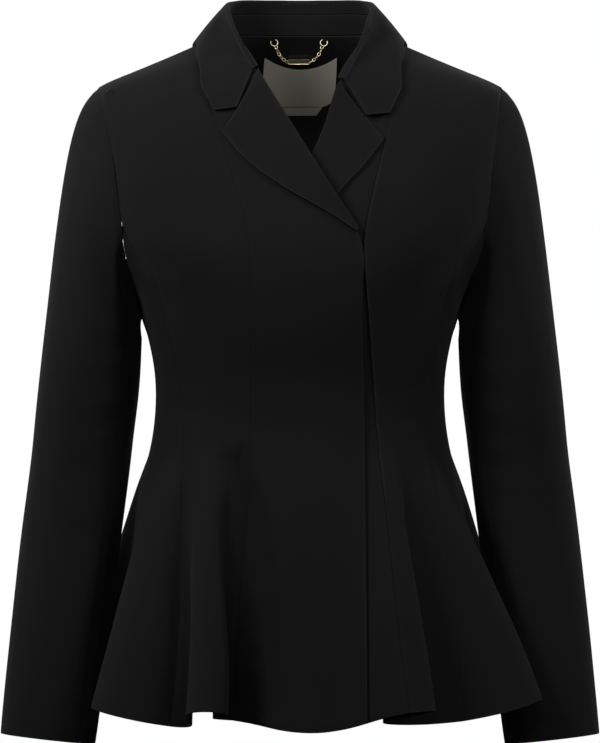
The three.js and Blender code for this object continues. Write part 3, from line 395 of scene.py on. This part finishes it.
class Flow:
    """A socket that takes part in Python expressions"""

    def __init__(self, paint, socket):
        self.paint = paint
        self.socket = socket

    def maths(self, operation, first, second=None):
        sockets = {0: first} if second is None else {0: first, 1: second}
        return self.paint.node("ShaderNodeMath", {"operation": operation}, sockets)

    def __add__(self, other):
        return self.maths("ADD", self, other)

    __radd__ = __add__

    def __mul__(self, other):
        return self.maths("MULTIPLY", self, other)

    __rmul__ = __mul__

    def __pow__(self, other):
        return self.maths("POWER", self, other)

    def wave(self):
        return self.maths("SINE", self)

    def size(self):
        return self.maths("ABSOLUTE", self)


class Paint:
    """A material under construction"""

    def __init__(self, name):
        self.material = bpy.data.materials.new(name)
        self.material.use_nodes = True
        self.tree = self.material.node_tree
        self.tree.nodes.clear()

    def node(self, kind, settings=None, sockets=None, output=0):
        made = self.tree.nodes.new(kind)
        for name, value in (settings or {}).items():
            setattr(made, name, value)
        for name, value in (sockets or {}).items():
            if isinstance(value, Flow):
                self.tree.links.new(value.socket, made.inputs[name])
            else:
                made.inputs[name].default_value = value
        return Flow(self, made.outputs[output])

    def place(self):
        """Where on the object a point lies"""
        return self.node("ShaderNodeTexCoord", output=3)

    def axes(self, vector):
        split = self.node("ShaderNodeSeparateXYZ", sockets={0: vector})
        outputs = split.socket.node.outputs
        return [Flow(self, outputs[i]) for i in range(3)]

    def stored(self, name):
        """A value that the mesh carries at each point"""
        return self.node("ShaderNodeAttribute", {"attribute_name": name}, output=2)

    def cloud(self, place, scale, detail=2.0, rough=0.5):
        return self.node("ShaderNodeTexNoise", sockets={
            "Vector": place, "Scale": scale, "Detail": detail, "Roughness": rough})

    def blend(self, share, first, second):
        """A colour between two colours"""
        return self.node("ShaderNodeMix", {"data_type": "RGBA"},
                         {0: share, 6: first, 7: second}, output=2)

    def bump(self, height, strength, distance):
        return self.node("ShaderNodeBump", sockets={
            "Height": height, "Strength": strength, "Distance": distance})

    def finish(self, sockets):
        shader = self.node("ShaderNodeBsdfPrincipled", sockets=sockets)
        surface = self.tree.nodes.new("ShaderNodeOutputMaterial").inputs["Surface"]
        self.tree.links.new(shader.socket, surface)
        return self.material


def opaque(colour, share=1.0):
    """A colour with full alpha, made lighter or darker by the share"""
    return (colour[0] * share, colour[1] * share, colour[2] * share, 1.0)


def kept_material(name, make):
    """The material of that name, made the first time it is asked for"""
    return bpy.data.materials.get(name) or make(name)


def wool(name):
    """Matt wool crepe: pebbled weave, a soft nap, and a painted highlight where edges are folded"""
    look = bpy.context.scene.blazer_wool
    paint = Paint(name)
    place = paint.place()
    pebbles = paint.cloud(place, 1.0 / look.pebble, 3.0, 0.62)
    threads = paint.cloud(place, 3.4 / look.pebble, 1.0)
    patches = paint.cloud(place, 14.0, 2.0)
    # Mask of the painted edge highlight, stored on the mesh
    edge = paint.stored("free_edge")
    height = pebbles * 0.75 + threads * 0.25
    shade = paint.blend(patches, opaque(look.colour, 0.82), opaque(look.colour, 1.16))
    grained = paint.blend(pebbles * 0.45, shade, opaque(look.colour, 1.7))
    # Painted highlight: free edges are blended towards the paler edge colour, standing in for the sheen of
    # light along them
    colour = paint.blend(edge ** 1.5 * 0.8, grained, opaque(look.edge_highlight))
    return paint.finish({
        "Base Color": colour,
        "Roughness": 0.80 + pebbles * 0.16,
        "Specular IOR Level": 0.22,
        "Sheen Weight": look.nap,
        "Sheen Roughness": 0.5,
        "Sheen Tint": (0.8, 0.8, 0.8, 1.0),
        "Normal": paint.bump(height, 0.5, 0.14 * MM),
    })


def satin(name):
    """Black satin lining with a fine twill line and a soft gloss"""
    look = bpy.context.scene.blazer_lining
    paint = Paint(name)
    place = paint.place()
    across, unused, up = paint.axes(place)
    twill = ((across + up * 1.6) * (2 * math.pi / (0.5 * MM))).wave()
    soft = paint.cloud(place, 60.0, 2.0)
    shade = paint.blend(soft, opaque(look.colour, 0.8), opaque(look.colour, 1.3))
    return paint.finish({
        "Base Color": shade,
        "Roughness": look.rough + soft * 0.12,
        "Sheen Weight": 0.1,
        "Normal": paint.bump(twill * 0.5 + 0.5, 0.25, 0.03 * MM),
    })


def woven_label(name):
    """Cream woven satin with its warp and weft"""
    look = bpy.context.scene.blazer_label
    paint = Paint(name)
    place = paint.place()
    across, unused, up = paint.axes(place)
    turn = math.pi / look.thread
    warp = (across * turn).wave().size()
    weft = (up * turn * 0.7).wave().size()
    uneven = paint.cloud(place, 220.0, 3.0)
    shade = paint.blend(uneven, opaque(look.colour, 0.90), opaque(look.colour, 1.06))
    colour = paint.blend(warp * 0.22, shade, opaque(look.colour, 0.72))
    return paint.finish({
        "Base Color": colour,
        "Roughness": 0.5 + uneven * 0.2,
        "Sheen Weight": 0.2,
        "Normal": paint.bump(warp * 0.6 + weft * 0.4, 0.5, 0.08 * MM),
    })


def label_thread(name):
    """Cream sewing thread, twisted"""
    paint = Paint(name)
    place = paint.place()
    twist = paint.cloud(place, 5200.0, 1.0)
    return paint.finish({
        "Base Color": paint.blend(twist, (0.50, 0.45, 0.34, 1.0), (0.70, 0.65, 0.52, 1.0)),
        "Roughness": 0.6,
        "Normal": paint.bump(twist, 0.4, 0.05 * MM),
    })


def gold(name):
    """Light gold plating with faint rubbed marks"""
    look = bpy.context.scene.blazer_metal
    paint = Paint(name)
    place = paint.place()
    rubbed = paint.cloud(place, 900.0, 4.0, 0.7)
    return paint.finish({
        "Base Color": paint.blend(rubbed, opaque(look.colour, 0.88), opaque(look.colour, 1.08)),
        "Metallic": 1.0,
        "Roughness": look.rough + rubbed * 0.14,
        "Normal": paint.bump(rubbed, 0.12, 0.03 * MM),
    })


def paper(name):
    """The studio's pale paper, which glows a little so that it stays pale under weak lamps"""
    paint = Paint(name)
    speck = paint.cloud(paint.place(), 3.0, 2.0)
    return paint.finish({
        "Base Color": paint.blend(speck, (0.90, 0.90, 0.90, 1.0), (0.93, 0.93, 0.93, 1.0)),
        "Roughness": 0.9,
        "Emission Color": (1.0, 1.0, 1.0, 1.0),
        "Emission Strength": PAPER_GLOW,
    })


def face_width(face):
    """How wide a face is across its longest edge"""
    return face.calc_area() / max(edge.calc_length() for edge in face.edges)


def rim_edges(bm, wall):
    """Edges where a panel's face turns over into its thickness"""
    narrow = {face for face in bm.faces if face_width(face) < wall * NARROW}
    sharp = []
    for edge in bm.edges:
        if len(edge.link_faces) != 2:
            continue
        count = sum(face in narrow for face in edge.link_faces)
        bend = edge.calc_face_angle(0.0)
        if (count == 1 and bend > BEND_INTO_EDGE) or (count == 2 and bend > BEND_WITHIN_EDGE):
            sharp.append(edge)
    return sharp


def welded(node):
    """A copy of a solid's mesh with its points merged and its triangles paired into quads"""
    bm = bmesh.new()
    bm.from_mesh(frame["nodes"][node].data)
    bm.edges.layers.float.new("crease_edge")
    bmesh.ops.remove_doubles(bm, verts=bm.verts, dist=MERGE)
    bmesh.ops.join_triangles(
        bm, faces=bm.faces, angle_face_threshold=PAIR_BEND, angle_shape_threshold=ANY_SHAPE,
        topology_influence=PAIR_TOPOLOGY)
    return bm


def subdivided(mesh, level):
    """A new mesh: the old one smoothed and subdivided"""
    holder = bpy.data.objects.new("holder", mesh)
    bpy.context.scene.collection.objects.link(holder)
    smoother = holder.modifiers.new("smoother", "SUBSURF")
    smoother.levels = smoother.render_levels = level
    ready = holder.evaluated_get(bpy.context.evaluated_depsgraph_get())
    made = bpy.data.meshes.new_from_object(ready)
    bpy.data.objects.remove(holder)
    return made


def read_points(mesh):
    points = np.zeros(len(mesh.vertices) * 3)
    mesh.vertices.foreach_get("co", points)
    return points.reshape(-1, 3)


def write_points(mesh, points):
    mesh.vertices.foreach_set("co", points.astype(np.float32).ravel())
    mesh.update()


def hold_form(bm, sharp):
    """Moves the points out by what smoothing would take away, so that the cloth keeps its size"""
    layer = bm.edges.layers.float["crease_edge"]
    for edge in sharp:
        edge[layer] = 1.0
    mesh = bpy.data.meshes.new("form")
    bm.to_mesh(mesh)
    before = read_points(mesh)
    after_mesh = subdivided(mesh, 1)
    lost = before - read_points(after_mesh)[: len(before)]
    for vert in bm.verts:
        vert.co += Vector(lost[vert.index]) * FORM_KEPT
    for edge in bm.edges:
        edge[layer] = 0.0
    bpy.data.meshes.remove(mesh)
    bpy.data.meshes.remove(after_mesh)


def edge_samples(node):
    """Points every few millimetres along the rims of a solid"""
    bm = welded(node)
    points = []
    for edge in rim_edges(bm, WALLS[node]):
        a, b = edge.verts[0].co, edge.verts[1].co
        steps = max(1, math.ceil((b - a).length / RIM_STEP))
        points.extend(a.lerp(b, i / steps) for i in range(steps + 1))
    bm.free()
    return points


rims = {}


def rim_points(node):
    """The rim points of a solid, worked out the first time they are asked for"""
    if node not in rims:
        rims[node] = edge_samples(node)
    return rims[node]


def tree_of(points):
    tree = kdtree.KDTree(len(points))
    for index, point in enumerate(points):
        tree.insert(point, index)
    tree.balance()
    return tree


def split_rims(node):
    """The rim points of a panel that lie in a seam, and those on a free edge"""
    others = [point for other in PANELS if other != node for point in rim_points(other)]
    tree = tree_of(others)
    seams, free = [], []
    for point in rim_points(node):
        near = node in PANELS and tree.find(point)[2] < SEAM_REACH
        (seams if near else free).append(point)
    return seams, free


def distances(points, targets, reach):
    """How far each point is from the nearest target, and reach where none is near"""
    found = np.full(len(points), reach)
    if not targets:
        return found
    corners = np.array([list(target) for target in targets])
    low, high = corners.min(axis=0) - reach, corners.max(axis=0) + reach
    tree = tree_of(targets)
    inside = np.all((points > low) & (points < high), axis=1)
    for index in np.nonzero(inside)[0]:
        found[index] = min(reach, tree.find(points[index])[2])
    return found


def tree_of_panels(nodes):
    """A search tree of the faces of some solids"""
    joined = bmesh.new()
    for node in nodes:
        joined.from_mesh(frame["nodes"][node].data)
    tree = BVHTree.FromBMesh(joined)
    joined.free()
    return tree


def close_seams(node, points):
    """Moves the rims that lie in a seam up to the middle of its gap, where the cloth is sewn"""
    if node not in PANELS:
        return points
    lapping = LAPPING if node in LAPPING else {node}
    tree = tree_of_panels([other for other in PANELS if other not in lapping])
    closed = points.copy()
    for index, point in enumerate(points):
        found, unused_normal, unused_face, gap = tree.find_nearest(point, SEAM_FADE)
        if found is not None:
            share = min(1.0, (SEAM_FADE - gap) / (SEAM_FADE - SEAM_GAP))
            closed[index] += (np.array(found) - point) / 2 * share
    return closed


def body_outward(points):
    """Directions out of the body at each point"""
    flat = points * np.array([1.0 / BODY_HALF_WIDTH ** 2, 1.0 / BODY_HALF_DEPTH ** 2, 0.0])
    return flat / (np.linalg.norm(flat, axis=1)[:, None] + TINY)


def sleeve_outward(side):
    """A function for directions out of a sleeve"""
    mirror = np.array([side, 1.0, 1.0])
    shoulder, cuff = np.array(SLEEVE_TOP) * mirror, np.array(SLEEVE_CUFF) * mirror
    along = (cuff - shoulder) / np.linalg.norm(cuff - shoulder)

    def outward(points):
        offset = points - shoulder
        radial = offset - np.outer(offset @ along, along)
        return radial / (np.linalg.norm(radial, axis=1)[:, None] + TINY)

    return outward


def crease_profile(points, crease, tree):
    """How strongly a crease presses each point, from 0 to 1 with a slight ridge on both sides"""
    start, middle, end = (np.array(p, float) * MM for p in (crease.start, crease.middle, crease.end))
    width = crease.width * MM
    best = np.full(len(points), FAR)
    share = np.zeros(len(points))
    for step in range(CREASE_STEPS + 1):
        t = step / CREASE_STEPS
        spot = start * (1 - t) ** 2 + middle * 2 * t * (1 - t) + end * t * t
        away = np.linalg.norm(points - np.array(tree.find_nearest(spot)[0]), axis=1)
        nearer = away < best
        best[nearer] = away[nearer]
        share[nearer] = t
    across = (best / width) ** 2
    taper = np.sin(np.pi * np.clip(share, 0.0, 1.0)) ** CREASE_FADE
    return (1 - CREASE_RIDGE * across) * np.exp(-across) * taper


def crease_cloth(node, points, creases, outward):
    """Presses the creases into the cloth"""
    strength = bpy.context.scene.blazer_cloth.crease_share
    family = [group for group in (BODY_PANELS, SLEEVE_PANELS) if node in group]
    tree = tree_of_panels(family[0] if family else [node])
    move = np.zeros(len(points))
    for crease in creases:
        ends = np.array([crease.start, crease.middle, crease.end], float) * MM
        margin = CREASE_MARGIN * crease.width * MM
        near = np.all((points > ends.min(0) - margin) & (points < ends.max(0) + margin), axis=1)
        if near.any():
            move[near] -= crease.depth * MM * crease_profile(points[near], crease, tree)
    return points + outward(points) * (move * strength)[:, None]


def ripple(points, outward, height):
    """The slight unevenness of cloth that isn't pressed flat"""
    lift = np.array([noise.noise(Vector(p) / RIPPLE_LENGTH) for p in points])
    return points + outward(points) * (lift * height)[:, None]


def store(mesh, name, values):
    layer = mesh.attributes.new(name, "FLOAT", "POINT")
    layer.data.foreach_set("value", values.astype(np.float32))


def add_piece(name, mesh, material, slot, *nodes):
    """Puts a finished mesh into the scene, on the garment's body"""
    mesh.materials.clear()
    mesh.materials.append(material)
    mesh.shade_smooth()
    piece = bpy.data.objects.new(name, mesh)
    bpy.context.scene.collection.objects.link(piece)
    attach(piece, BODY)
    if nodes:
        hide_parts(*nodes)
    return piece


def shell(node, creases, outward, extra=0, material=wool, slot="wool_crepe", waviness=1.0):
    """A cloth piece on its solid's form: rounded edges, pressed seams and creases"""
    sizes = bpy.context.scene.blazer_cloth
    wall = WALLS[node]
    bm = welded(node)
    sharp = rim_edges(bm, wall)
    hold_form(bm, sharp)
    bmesh.ops.bevel(
        bm, geom=sharp, offset=min(sizes.edge_round, wall * ROUND_SHARE), offset_type="OFFSET",
        segments=2, profile=0.5, affect="EDGES", clamp_overlap=True, material=-1)
    rough = bpy.data.meshes.new("rough")
    bm.to_mesh(rough)
    bm.free()
    mesh = subdivided(rough, sizes.fineness + extra)
    bpy.data.meshes.remove(rough)
    mesh.name = node
    points = close_seams(node, read_points(mesh))
    seams, free = split_rims(node)
    at_seam = distances(points, seams, SEAM_FELT)
    at_edge = distances(points, free, EDGE_FELT)
    press = np.exp(-((at_seam - PRESS_PLACE) / PRESS_WIDTH) ** 2) * sizes.seam_press
    points = points + outward(points) * press[:, None]
    points = crease_cloth(node, points, creases, outward)
    points = ripple(points, outward, RIPPLE_HEIGHT * waviness)
    write_points(mesh, points)
    # Painted highlight mask: 1 on a free edge, fading to 0 across the highlight's width
    store(mesh, "free_edge", np.clip(1 - at_edge / EDGE_HIGHLIGHT_WIDTH, 0, 1))
    piece = add_piece("cloth_" + node, mesh, kept_material(slot + "_finish", material), slot, node)
    return piece


def stitch_row(bm, points, direction_out):
    """Short rounded stitches from point to point, each along its own stretch"""
    for a, b in zip(points, points[1:]):
        along = b - a
        length = along.length
        turn = along.to_track_quat("Z", "Y").to_matrix().to_4x4()
        middle = (a + b) / 2 + direction_out * STITCH_LIFT * MM
        made = bmesh.ops.create_cone(
            bm, cap_ends=True, segments=STITCH_SIDES, radius1=STITCH_THICK * MM,
            radius2=STITCH_THICK * MM, depth=length * STITCH_SHOWN, matrix=Matrix.Translation(middle) @ turn)
        rims_found = {edge for vert in made["verts"] for edge in vert.link_edges
                      if edge.calc_face_angle(0.0) > math.radians(70)}
        bmesh.ops.bevel(bm, geom=list(rims_found), offset=STITCH_THICK * 0.5 * MM, segments=2,
                        profile=0.5, affect="EDGES", material=-1)


def wire_loop(bm, radius, stretch, wire, matrix, steps, section, gap=None):
    """A ring of round wire, spun from its section and stretched along its own Y. A gap, given by
    the angles where it starts and ends, leaves the ring open with closed ends."""
    known = set(bm.verts)
    first, turn = (gap[1], 360 - gap[1] + gap[0]) if gap else (0, 360)
    upright = Matrix.Translation((radius, 0, 0)) @ Matrix.Rotation(math.pi / 2, 4, "X")
    made = bmesh.ops.create_circle(
        bm, cap_ends=False, segments=section, radius=wire,
        matrix=Matrix.Rotation(math.radians(first), 4, "Z") @ upright)
    start = made["verts"]
    edges = {edge for vert in start for edge in vert.link_edges}
    bmesh.ops.spin(
        bm, geom=start + list(edges), cent=(0, 0, 0), axis=(0, 0, 1), angle=math.radians(turn),
        steps=steps, use_merge=gap is None, use_duplicate=False)
    verts = [vert for vert in bm.verts if vert not in known]
    open_edges = {edge for vert in verts for edge in vert.link_edges if edge.is_boundary}
    if open_edges:
        bmesh.ops.holes_fill(bm, edges=list(open_edges), sides=0)
    for vert in verts:
        vert.co.y *= stretch
    bmesh.ops.transform(bm, matrix=matrix, verts=verts)


def node_centre(node):
    low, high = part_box(node)
    return (low + high) / 2


def against_back(centre, roll):
    """A matrix at a centre whose own Z points away from the back lining, turned by the roll"""
    outward = Vector(OFF_LINING).normalized()
    sideways = Vector((1.0, 0.0, 0.0))
    upward = outward.cross(sideways).normalized()
    turned = Matrix((sideways, upward, outward)).transposed().to_4x4()
    return Matrix.Translation(centre) @ turned @ Matrix.Rotation(roll, 4, "Z")


def mesh_from(bm, name):
    bmesh.ops.recalc_face_normals(bm, faces=bm.faces)
    mesh = bpy.data.meshes.new(name)
    bm.to_mesh(mesh)
    bm.free()
    return mesh


class BLAZER_OT_fronts(bpy.types.Operator):
    """Right front over the left one, and both side fronts"""

    bl_idname = "blazer.fronts"
    bl_label = "Fronts"

    def execute(self, context):
        for node in ("front_right", "front_left", "side_front_right", "side_front_left"):
            shell(node, BODY_CREASES, body_outward)
        return {"FINISHED"}


class BLAZER_OT_sides(bpy.types.Operator):
    """Side panels under the arms"""

    bl_idname = "blazer.sides"
    bl_label = "Side panels"

    def execute(self, context):
        for node in ("side_right", "side_left"):
            shell(node, BODY_CREASES, body_outward)
        return {"FINISHED"}


class BLAZER_OT_backs(bpy.types.Operator):
    """Both backs, joined at the centre back seam"""

    bl_idname = "blazer.backs"
    bl_label = "Backs"

    def execute(self, context):
        for node in ("back_right", "back_left"):
            shell(node, BODY_CREASES, body_outward)
        return {"FINISHED"}


class BLAZER_OT_sleeves(bpy.types.Operator):
    """Top and under sleeves of both arms"""

    bl_idname = "blazer.sleeves"
    bl_label = "Sleeves"

    def execute(self, context):
        for side, word in ((-1, "right"), (1, "left")):
            for part in ("top_sleeve_", "under_sleeve_"):
                shell(part + word, SLEEVE_CREASES[side], sleeve_outward(side))
        return {"FINISHED"}


class BLAZER_OT_lapels(bpy.types.Operator):
    """Lapels, turned back on the fronts"""

    bl_idname = "blazer.lapels"
    bl_label = "Lapels"

    def execute(self, context):
        for node in ("lapel_right", "lapel_left"):
            shell(node, [], body_outward, extra=1, waviness=0.5)
        return {"FINISHED"}


class BLAZER_OT_collar(bpy.types.Operator):
    """Turned down collar leaf and its stand"""

    bl_idname = "blazer.collar"
    bl_label = "Collar"

    def execute(self, context):
        shell("collar_leaf", [], body_outward, extra=1, waviness=0.5)
        shell("collar_stand", [], body_outward, extra=1, waviness=0.3)
        return {"FINISHED"}


class BLAZER_OT_lining(bpy.types.Operator):
    """Satin lining of the upper back with an ease pleat"""

    bl_idname = "blazer.lining"
    bl_label = "Back lining"

    def execute(self, context):
        shell("back_lining", LINING_CREASES, body_outward, material=satin, slot="lining_satin")
        return {"FINISHED"}


class BLAZER_OT_labels(bpy.types.Operator):
    """Blank neck label and care label, sewn to the lining"""

    bl_idname = "blazer.labels"
    bl_label = "Labels"

    def execute(self, context):
        label = shell("neck_label", [], body_outward, extra=1, material=woven_label,
                      slot="woven_label", waviness=0.2)
        shell("care_label", [], body_outward, extra=1, material=woven_label, slot="care_label",
              waviness=0.1)
        self.sew(label)
        return {"FINISHED"}

    def sew(self, label):
        """Two short rows of stitches, along the left and the right end of the label"""
        points = read_points(label.data)
        low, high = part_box("neck_label")
        tree = tree_of([Vector(p) for p in points])
        bm = bmesh.new()
        count = int((high.z - low.z) / (STITCH * MM))
        for side in (-1, 1):
            row = []
            for i in range(STITCH_ENDS, count - STITCH_ENDS):
                z = high.z - i * STITCH * MM
                x = low.x + STITCH_INSET * MM if side < 0 else high.x - STITCH_INSET * MM
                found = tree.find(Vector((x, low.y, z)))[0]
                row.append(Vector((found.x, found.y, z)))
            stitch_row(bm, row, Vector((0.0, -1.0, 0.0)))
        add_piece("label_stitches", mesh_from(bm, "label_stitches"),
                  kept_material("label_thread", label_thread), "woven_label")


class BLAZER_OT_hanger(bpy.types.Operator):
    """Gold hanger loop: two rings, two chains of small links and a bar"""

    bl_idname = "blazer.hanger"
    bl_label = "Hanger loop"

    def execute(self, context):
        metal = kept_material("gold_finish", gold)
        for word in ("right", "left"):
            self.ring(word, metal)
            self.chain(word, metal)
        self.bar(metal)
        return {"FINISHED"}

    def ring(self, word, metal):
        node = "hanger_ring_" + word
        gap = RING_GAP if word == "right" else (180 - RING_GAP[1], 180 - RING_GAP[0])
        bm = bmesh.new()
        wire_loop(bm, RING_RADIUS * MM, 1.0, RING_WIRE * MM, against_back(node_centre(node), 0.0),
                  RING_STEPS, RING_SECTION, gap)
        add_piece("ring_" + word, mesh_from(bm, node), metal, "gold_metal", node)

    def chain(self, word, metal):
        """Links from under the ring to the end of the bar, each turned against the one before"""
        side = -1 if word == "right" else 1
        ring, bar = node_centre("hanger_ring_" + word), node_centre("hanger_bar")
        low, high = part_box("hanger_bar")
        bar_end = low.x if side < 0 else high.x
        drop = RING_RADIUS + CHAIN_DROP
        start = ring + Vector((-side * CHAIN_INSET, -CHAIN_END, -drop)) * MM
        end = Vector((bar_end + side * CHAIN_END * MM, bar.y - CHAIN_END * MM, bar.z))
        middle = (start + end) / 2 + Vector((side * CHAIN_SAG, 0.0, -CHAIN_SAG)) * MM
        bm = bmesh.new()
        for i in range(LINK_COUNT):
            t = i / (LINK_COUNT - 1)
            centre = start * (1 - t) ** 2 + middle * 2 * t * (1 - t) + end * t * t
            heading = (middle - start) * (1 - t) + (end - middle) * t
            roll = math.atan2(heading.x, -heading.z)
            twist = math.radians(LINK_TWISTS[i % 2])
            matrix = against_back(centre, roll) @ Matrix.Rotation(twist, 4, "Y")
            wire_loop(bm, LINK_WIDE * MM, LINK_LONG / LINK_WIDE, LINK_WIRE * MM, matrix,
                      LINK_STEPS, LINK_SECTION)
        node = "hanger_chain_" + word
        add_piece("chain_" + word, mesh_from(bm, node), metal, "gold_metal", node)

    def bar(self, metal):
        """A small plate with round corners and a rim round its sunk face"""
        bm = bmesh.new()
        bm.from_mesh(frame["nodes"]["hanger_bar"].data)
        bmesh.ops.remove_doubles(bm, verts=bm.verts, dist=MERGE)
        bmesh.ops.join_triangles(bm, faces=bm.faces, angle_face_threshold=0.2,
                                 angle_shape_threshold=3.0)
        shortest = min(edge.calc_length() for edge in bm.edges)
        corners = [edge for edge in bm.edges if edge.calc_length() < 2 * shortest]
        bmesh.ops.bevel(bm, geom=corners, offset=BAR_CORNER * MM, segments=BAR_CORNER_STEPS,
                        profile=0.5, affect="EDGES", material=-1)
        face = min(bm.faces, key=lambda each: each.normal.y * each.calc_area())
        bmesh.ops.inset_region(bm, faces=[face], thickness=BAR_RIM * MM, depth=-BAR_SUNK * MM,
                               use_even_offset=True)
        sharp = [edge for edge in bm.edges if edge.calc_face_angle(0.0) > BAR_SHARP]
        bmesh.ops.bevel(bm, geom=sharp, offset=BAR_EDGE * MM, segments=2, profile=0.5,
                        affect="EDGES", material=-1, clamp_overlap=True)
        add_piece("bar", mesh_from(bm, "bar"), metal, "gold_metal", "hanger_bar")


class BLAZER_OT_studio(bpy.types.Operator):
    """Pale floor, soft light and the camera"""

    bl_idname = "blazer.studio"
    bl_label = "Studio"

    def execute(self, context):
        sizes = context.scene.blazer_studio
        middle = Vector((0.0, 0.0, (ORIGIN_ROW - PICTURE_HEIGHT / 2) * PIXEL * MM))
        self.floor(context, sizes)
        powers = {"key": sizes.key, "fill": sizes.fill, "front": sizes.front,
                  "glint": sizes.glint, "edge": sizes.edge, "back": sizes.back}
        for lamp in LAMPS:
            self.light(context, lamp, powers[lamp.group], middle)
        self.air(context, sizes)
        self.camera(context, sizes, middle)
        return {"FINISHED"}

    def floor(self, context, sizes):
        bm = bmesh.new()
        low = CAD_BOX[0].z - sizes.floor_drop
        bmesh.ops.create_circle(bm, cap_ends=True, segments=FLOOR_SIDES, radius=sizes.floor_radius,
                                matrix=Matrix.Translation((0, 0, low)))
        mesh = mesh_from(bm, "floor")
        mesh.materials.append(kept_material("paper", paper))
        floor = bpy.data.objects.new("floor", mesh)
        floor.visible_diffuse = False
        floor.visible_glossy = False
        context.scene.collection.objects.link(floor)

    def light(self, context, lamp, power, middle):
        data = bpy.data.lights.new(lamp.name, "AREA")
        data.shape = "RECTANGLE"
        data.size, data.size_y = lamp.size
        data.energy = power
        holder = bpy.data.objects.new(lamp.name, data)
        holder.location = lamp.place
        aim = middle + Vector((0.0, 0.0, lamp.aim_up))
        holder.rotation_euler = (aim - holder.location).to_track_quat("-Z", "Y").to_euler()
        holder.visible_camera = False
        if lamp.group == "glint":
            holder.light_linking.receiver_collection = self.hanger_pieces()
        context.scene.collection.objects.link(holder)

    def hanger_pieces(self):
        """A collection of the gold pieces, for the lamp that only they catch"""
        group = bpy.data.collections.new("hanger_pieces")
        metal = bpy.data.materials["gold_finish"]
        for piece in bpy.data.objects:
            if piece.type == "MESH" and metal in list(piece.data.materials):
                group.objects.link(piece)
        return group

    def air(self, context, sizes):
        """Even light all round, dimmer on the cloth than the white that is seen behind it"""
        world = bpy.data.worlds.new("air")
        world.use_nodes = True
        tree = world.node_tree
        seen = tree.nodes.new("ShaderNodeLightPath").outputs["Is Camera Ray"]
        strength = tree.nodes.new("ShaderNodeMix")
        strength.inputs["A"].default_value = sizes.air
        strength.inputs["B"].default_value = 1.0
        tree.links.new(seen, strength.inputs["Factor"])
        background = tree.nodes["Background"]
        background.inputs["Color"].default_value = (1.0, 1.0, 1.0, 1.0)
        tree.links.new(strength.outputs["Result"], background.inputs["Strength"])
        context.scene.world = world

    def camera(self, context, sizes, middle):
        data = bpy.data.cameras.new("camera")
        data.sensor_width = SENSOR
        data.lens = data.sensor_width * sizes.distance / (PICTURE_HEIGHT * PIXEL * MM)
        data.clip_end = VIEW_END
        eye = bpy.data.objects.new("camera", data)
        eye.location = middle + Vector((0.0, -sizes.distance, 0.0))
        eye.rotation_euler = (math.pi / 2, 0.0, 0.0)
        context.scene.collection.objects.link(eye)
        context.scene.camera = eye
        context.scene.view_settings.view_transform = "Standard"


STEPS = (
    BLAZER_OT_fronts, BLAZER_OT_sides, BLAZER_OT_backs, BLAZER_OT_sleeves, BLAZER_OT_lapels,
    BLAZER_OT_collar, BLAZER_OT_lining, BLAZER_OT_labels, BLAZER_OT_hanger, BLAZER_OT_studio,
)


class BLAZER_PT_panel(bpy.types.Panel):
    """Lists the pieces of the blazer"""

    bl_label = "Wool Blazer"
    bl_idname = "BLAZER_PT_panel"
    bl_space_type = "VIEW_3D"
    bl_region_type = "UI"
    bl_category = "Blazer"

    def draw(self, context):
        for step in STEPS:
            self.layout.operator(step.bl_idname)


GROUPS = {
    "blazer_cloth": ClothSizes,
    "blazer_wool": WoolLook,
    "blazer_lining": LiningLook,
    "blazer_label": LabelLook,
    "blazer_metal": MetalLook,
    "blazer_studio": StudioSizes,
}


def register():
    for group in GROUPS.values():
        bpy.utils.register_class(group)
    for step in (*STEPS, BLAZER_PT_panel):
        bpy.utils.register_class(step)
    for name, group in GROUPS.items():
        setattr(bpy.types.Scene, name, bpy.props.PointerProperty(type=group))


def unregister():
    for name in GROUPS:
        delattr(bpy.types.Scene, name)
    for step in reversed((*STEPS, BLAZER_PT_panel)):
        bpy.utils.unregister_class(step)
    for group in GROUPS.values():
        bpy.utils.unregister_class(group)


def main():
    register()
    for step in STEPS:
        family, name = step.bl_idname.split(".")
        getattr(getattr(bpy.ops, family), name)()


if __name__ == "__main__":
    main()
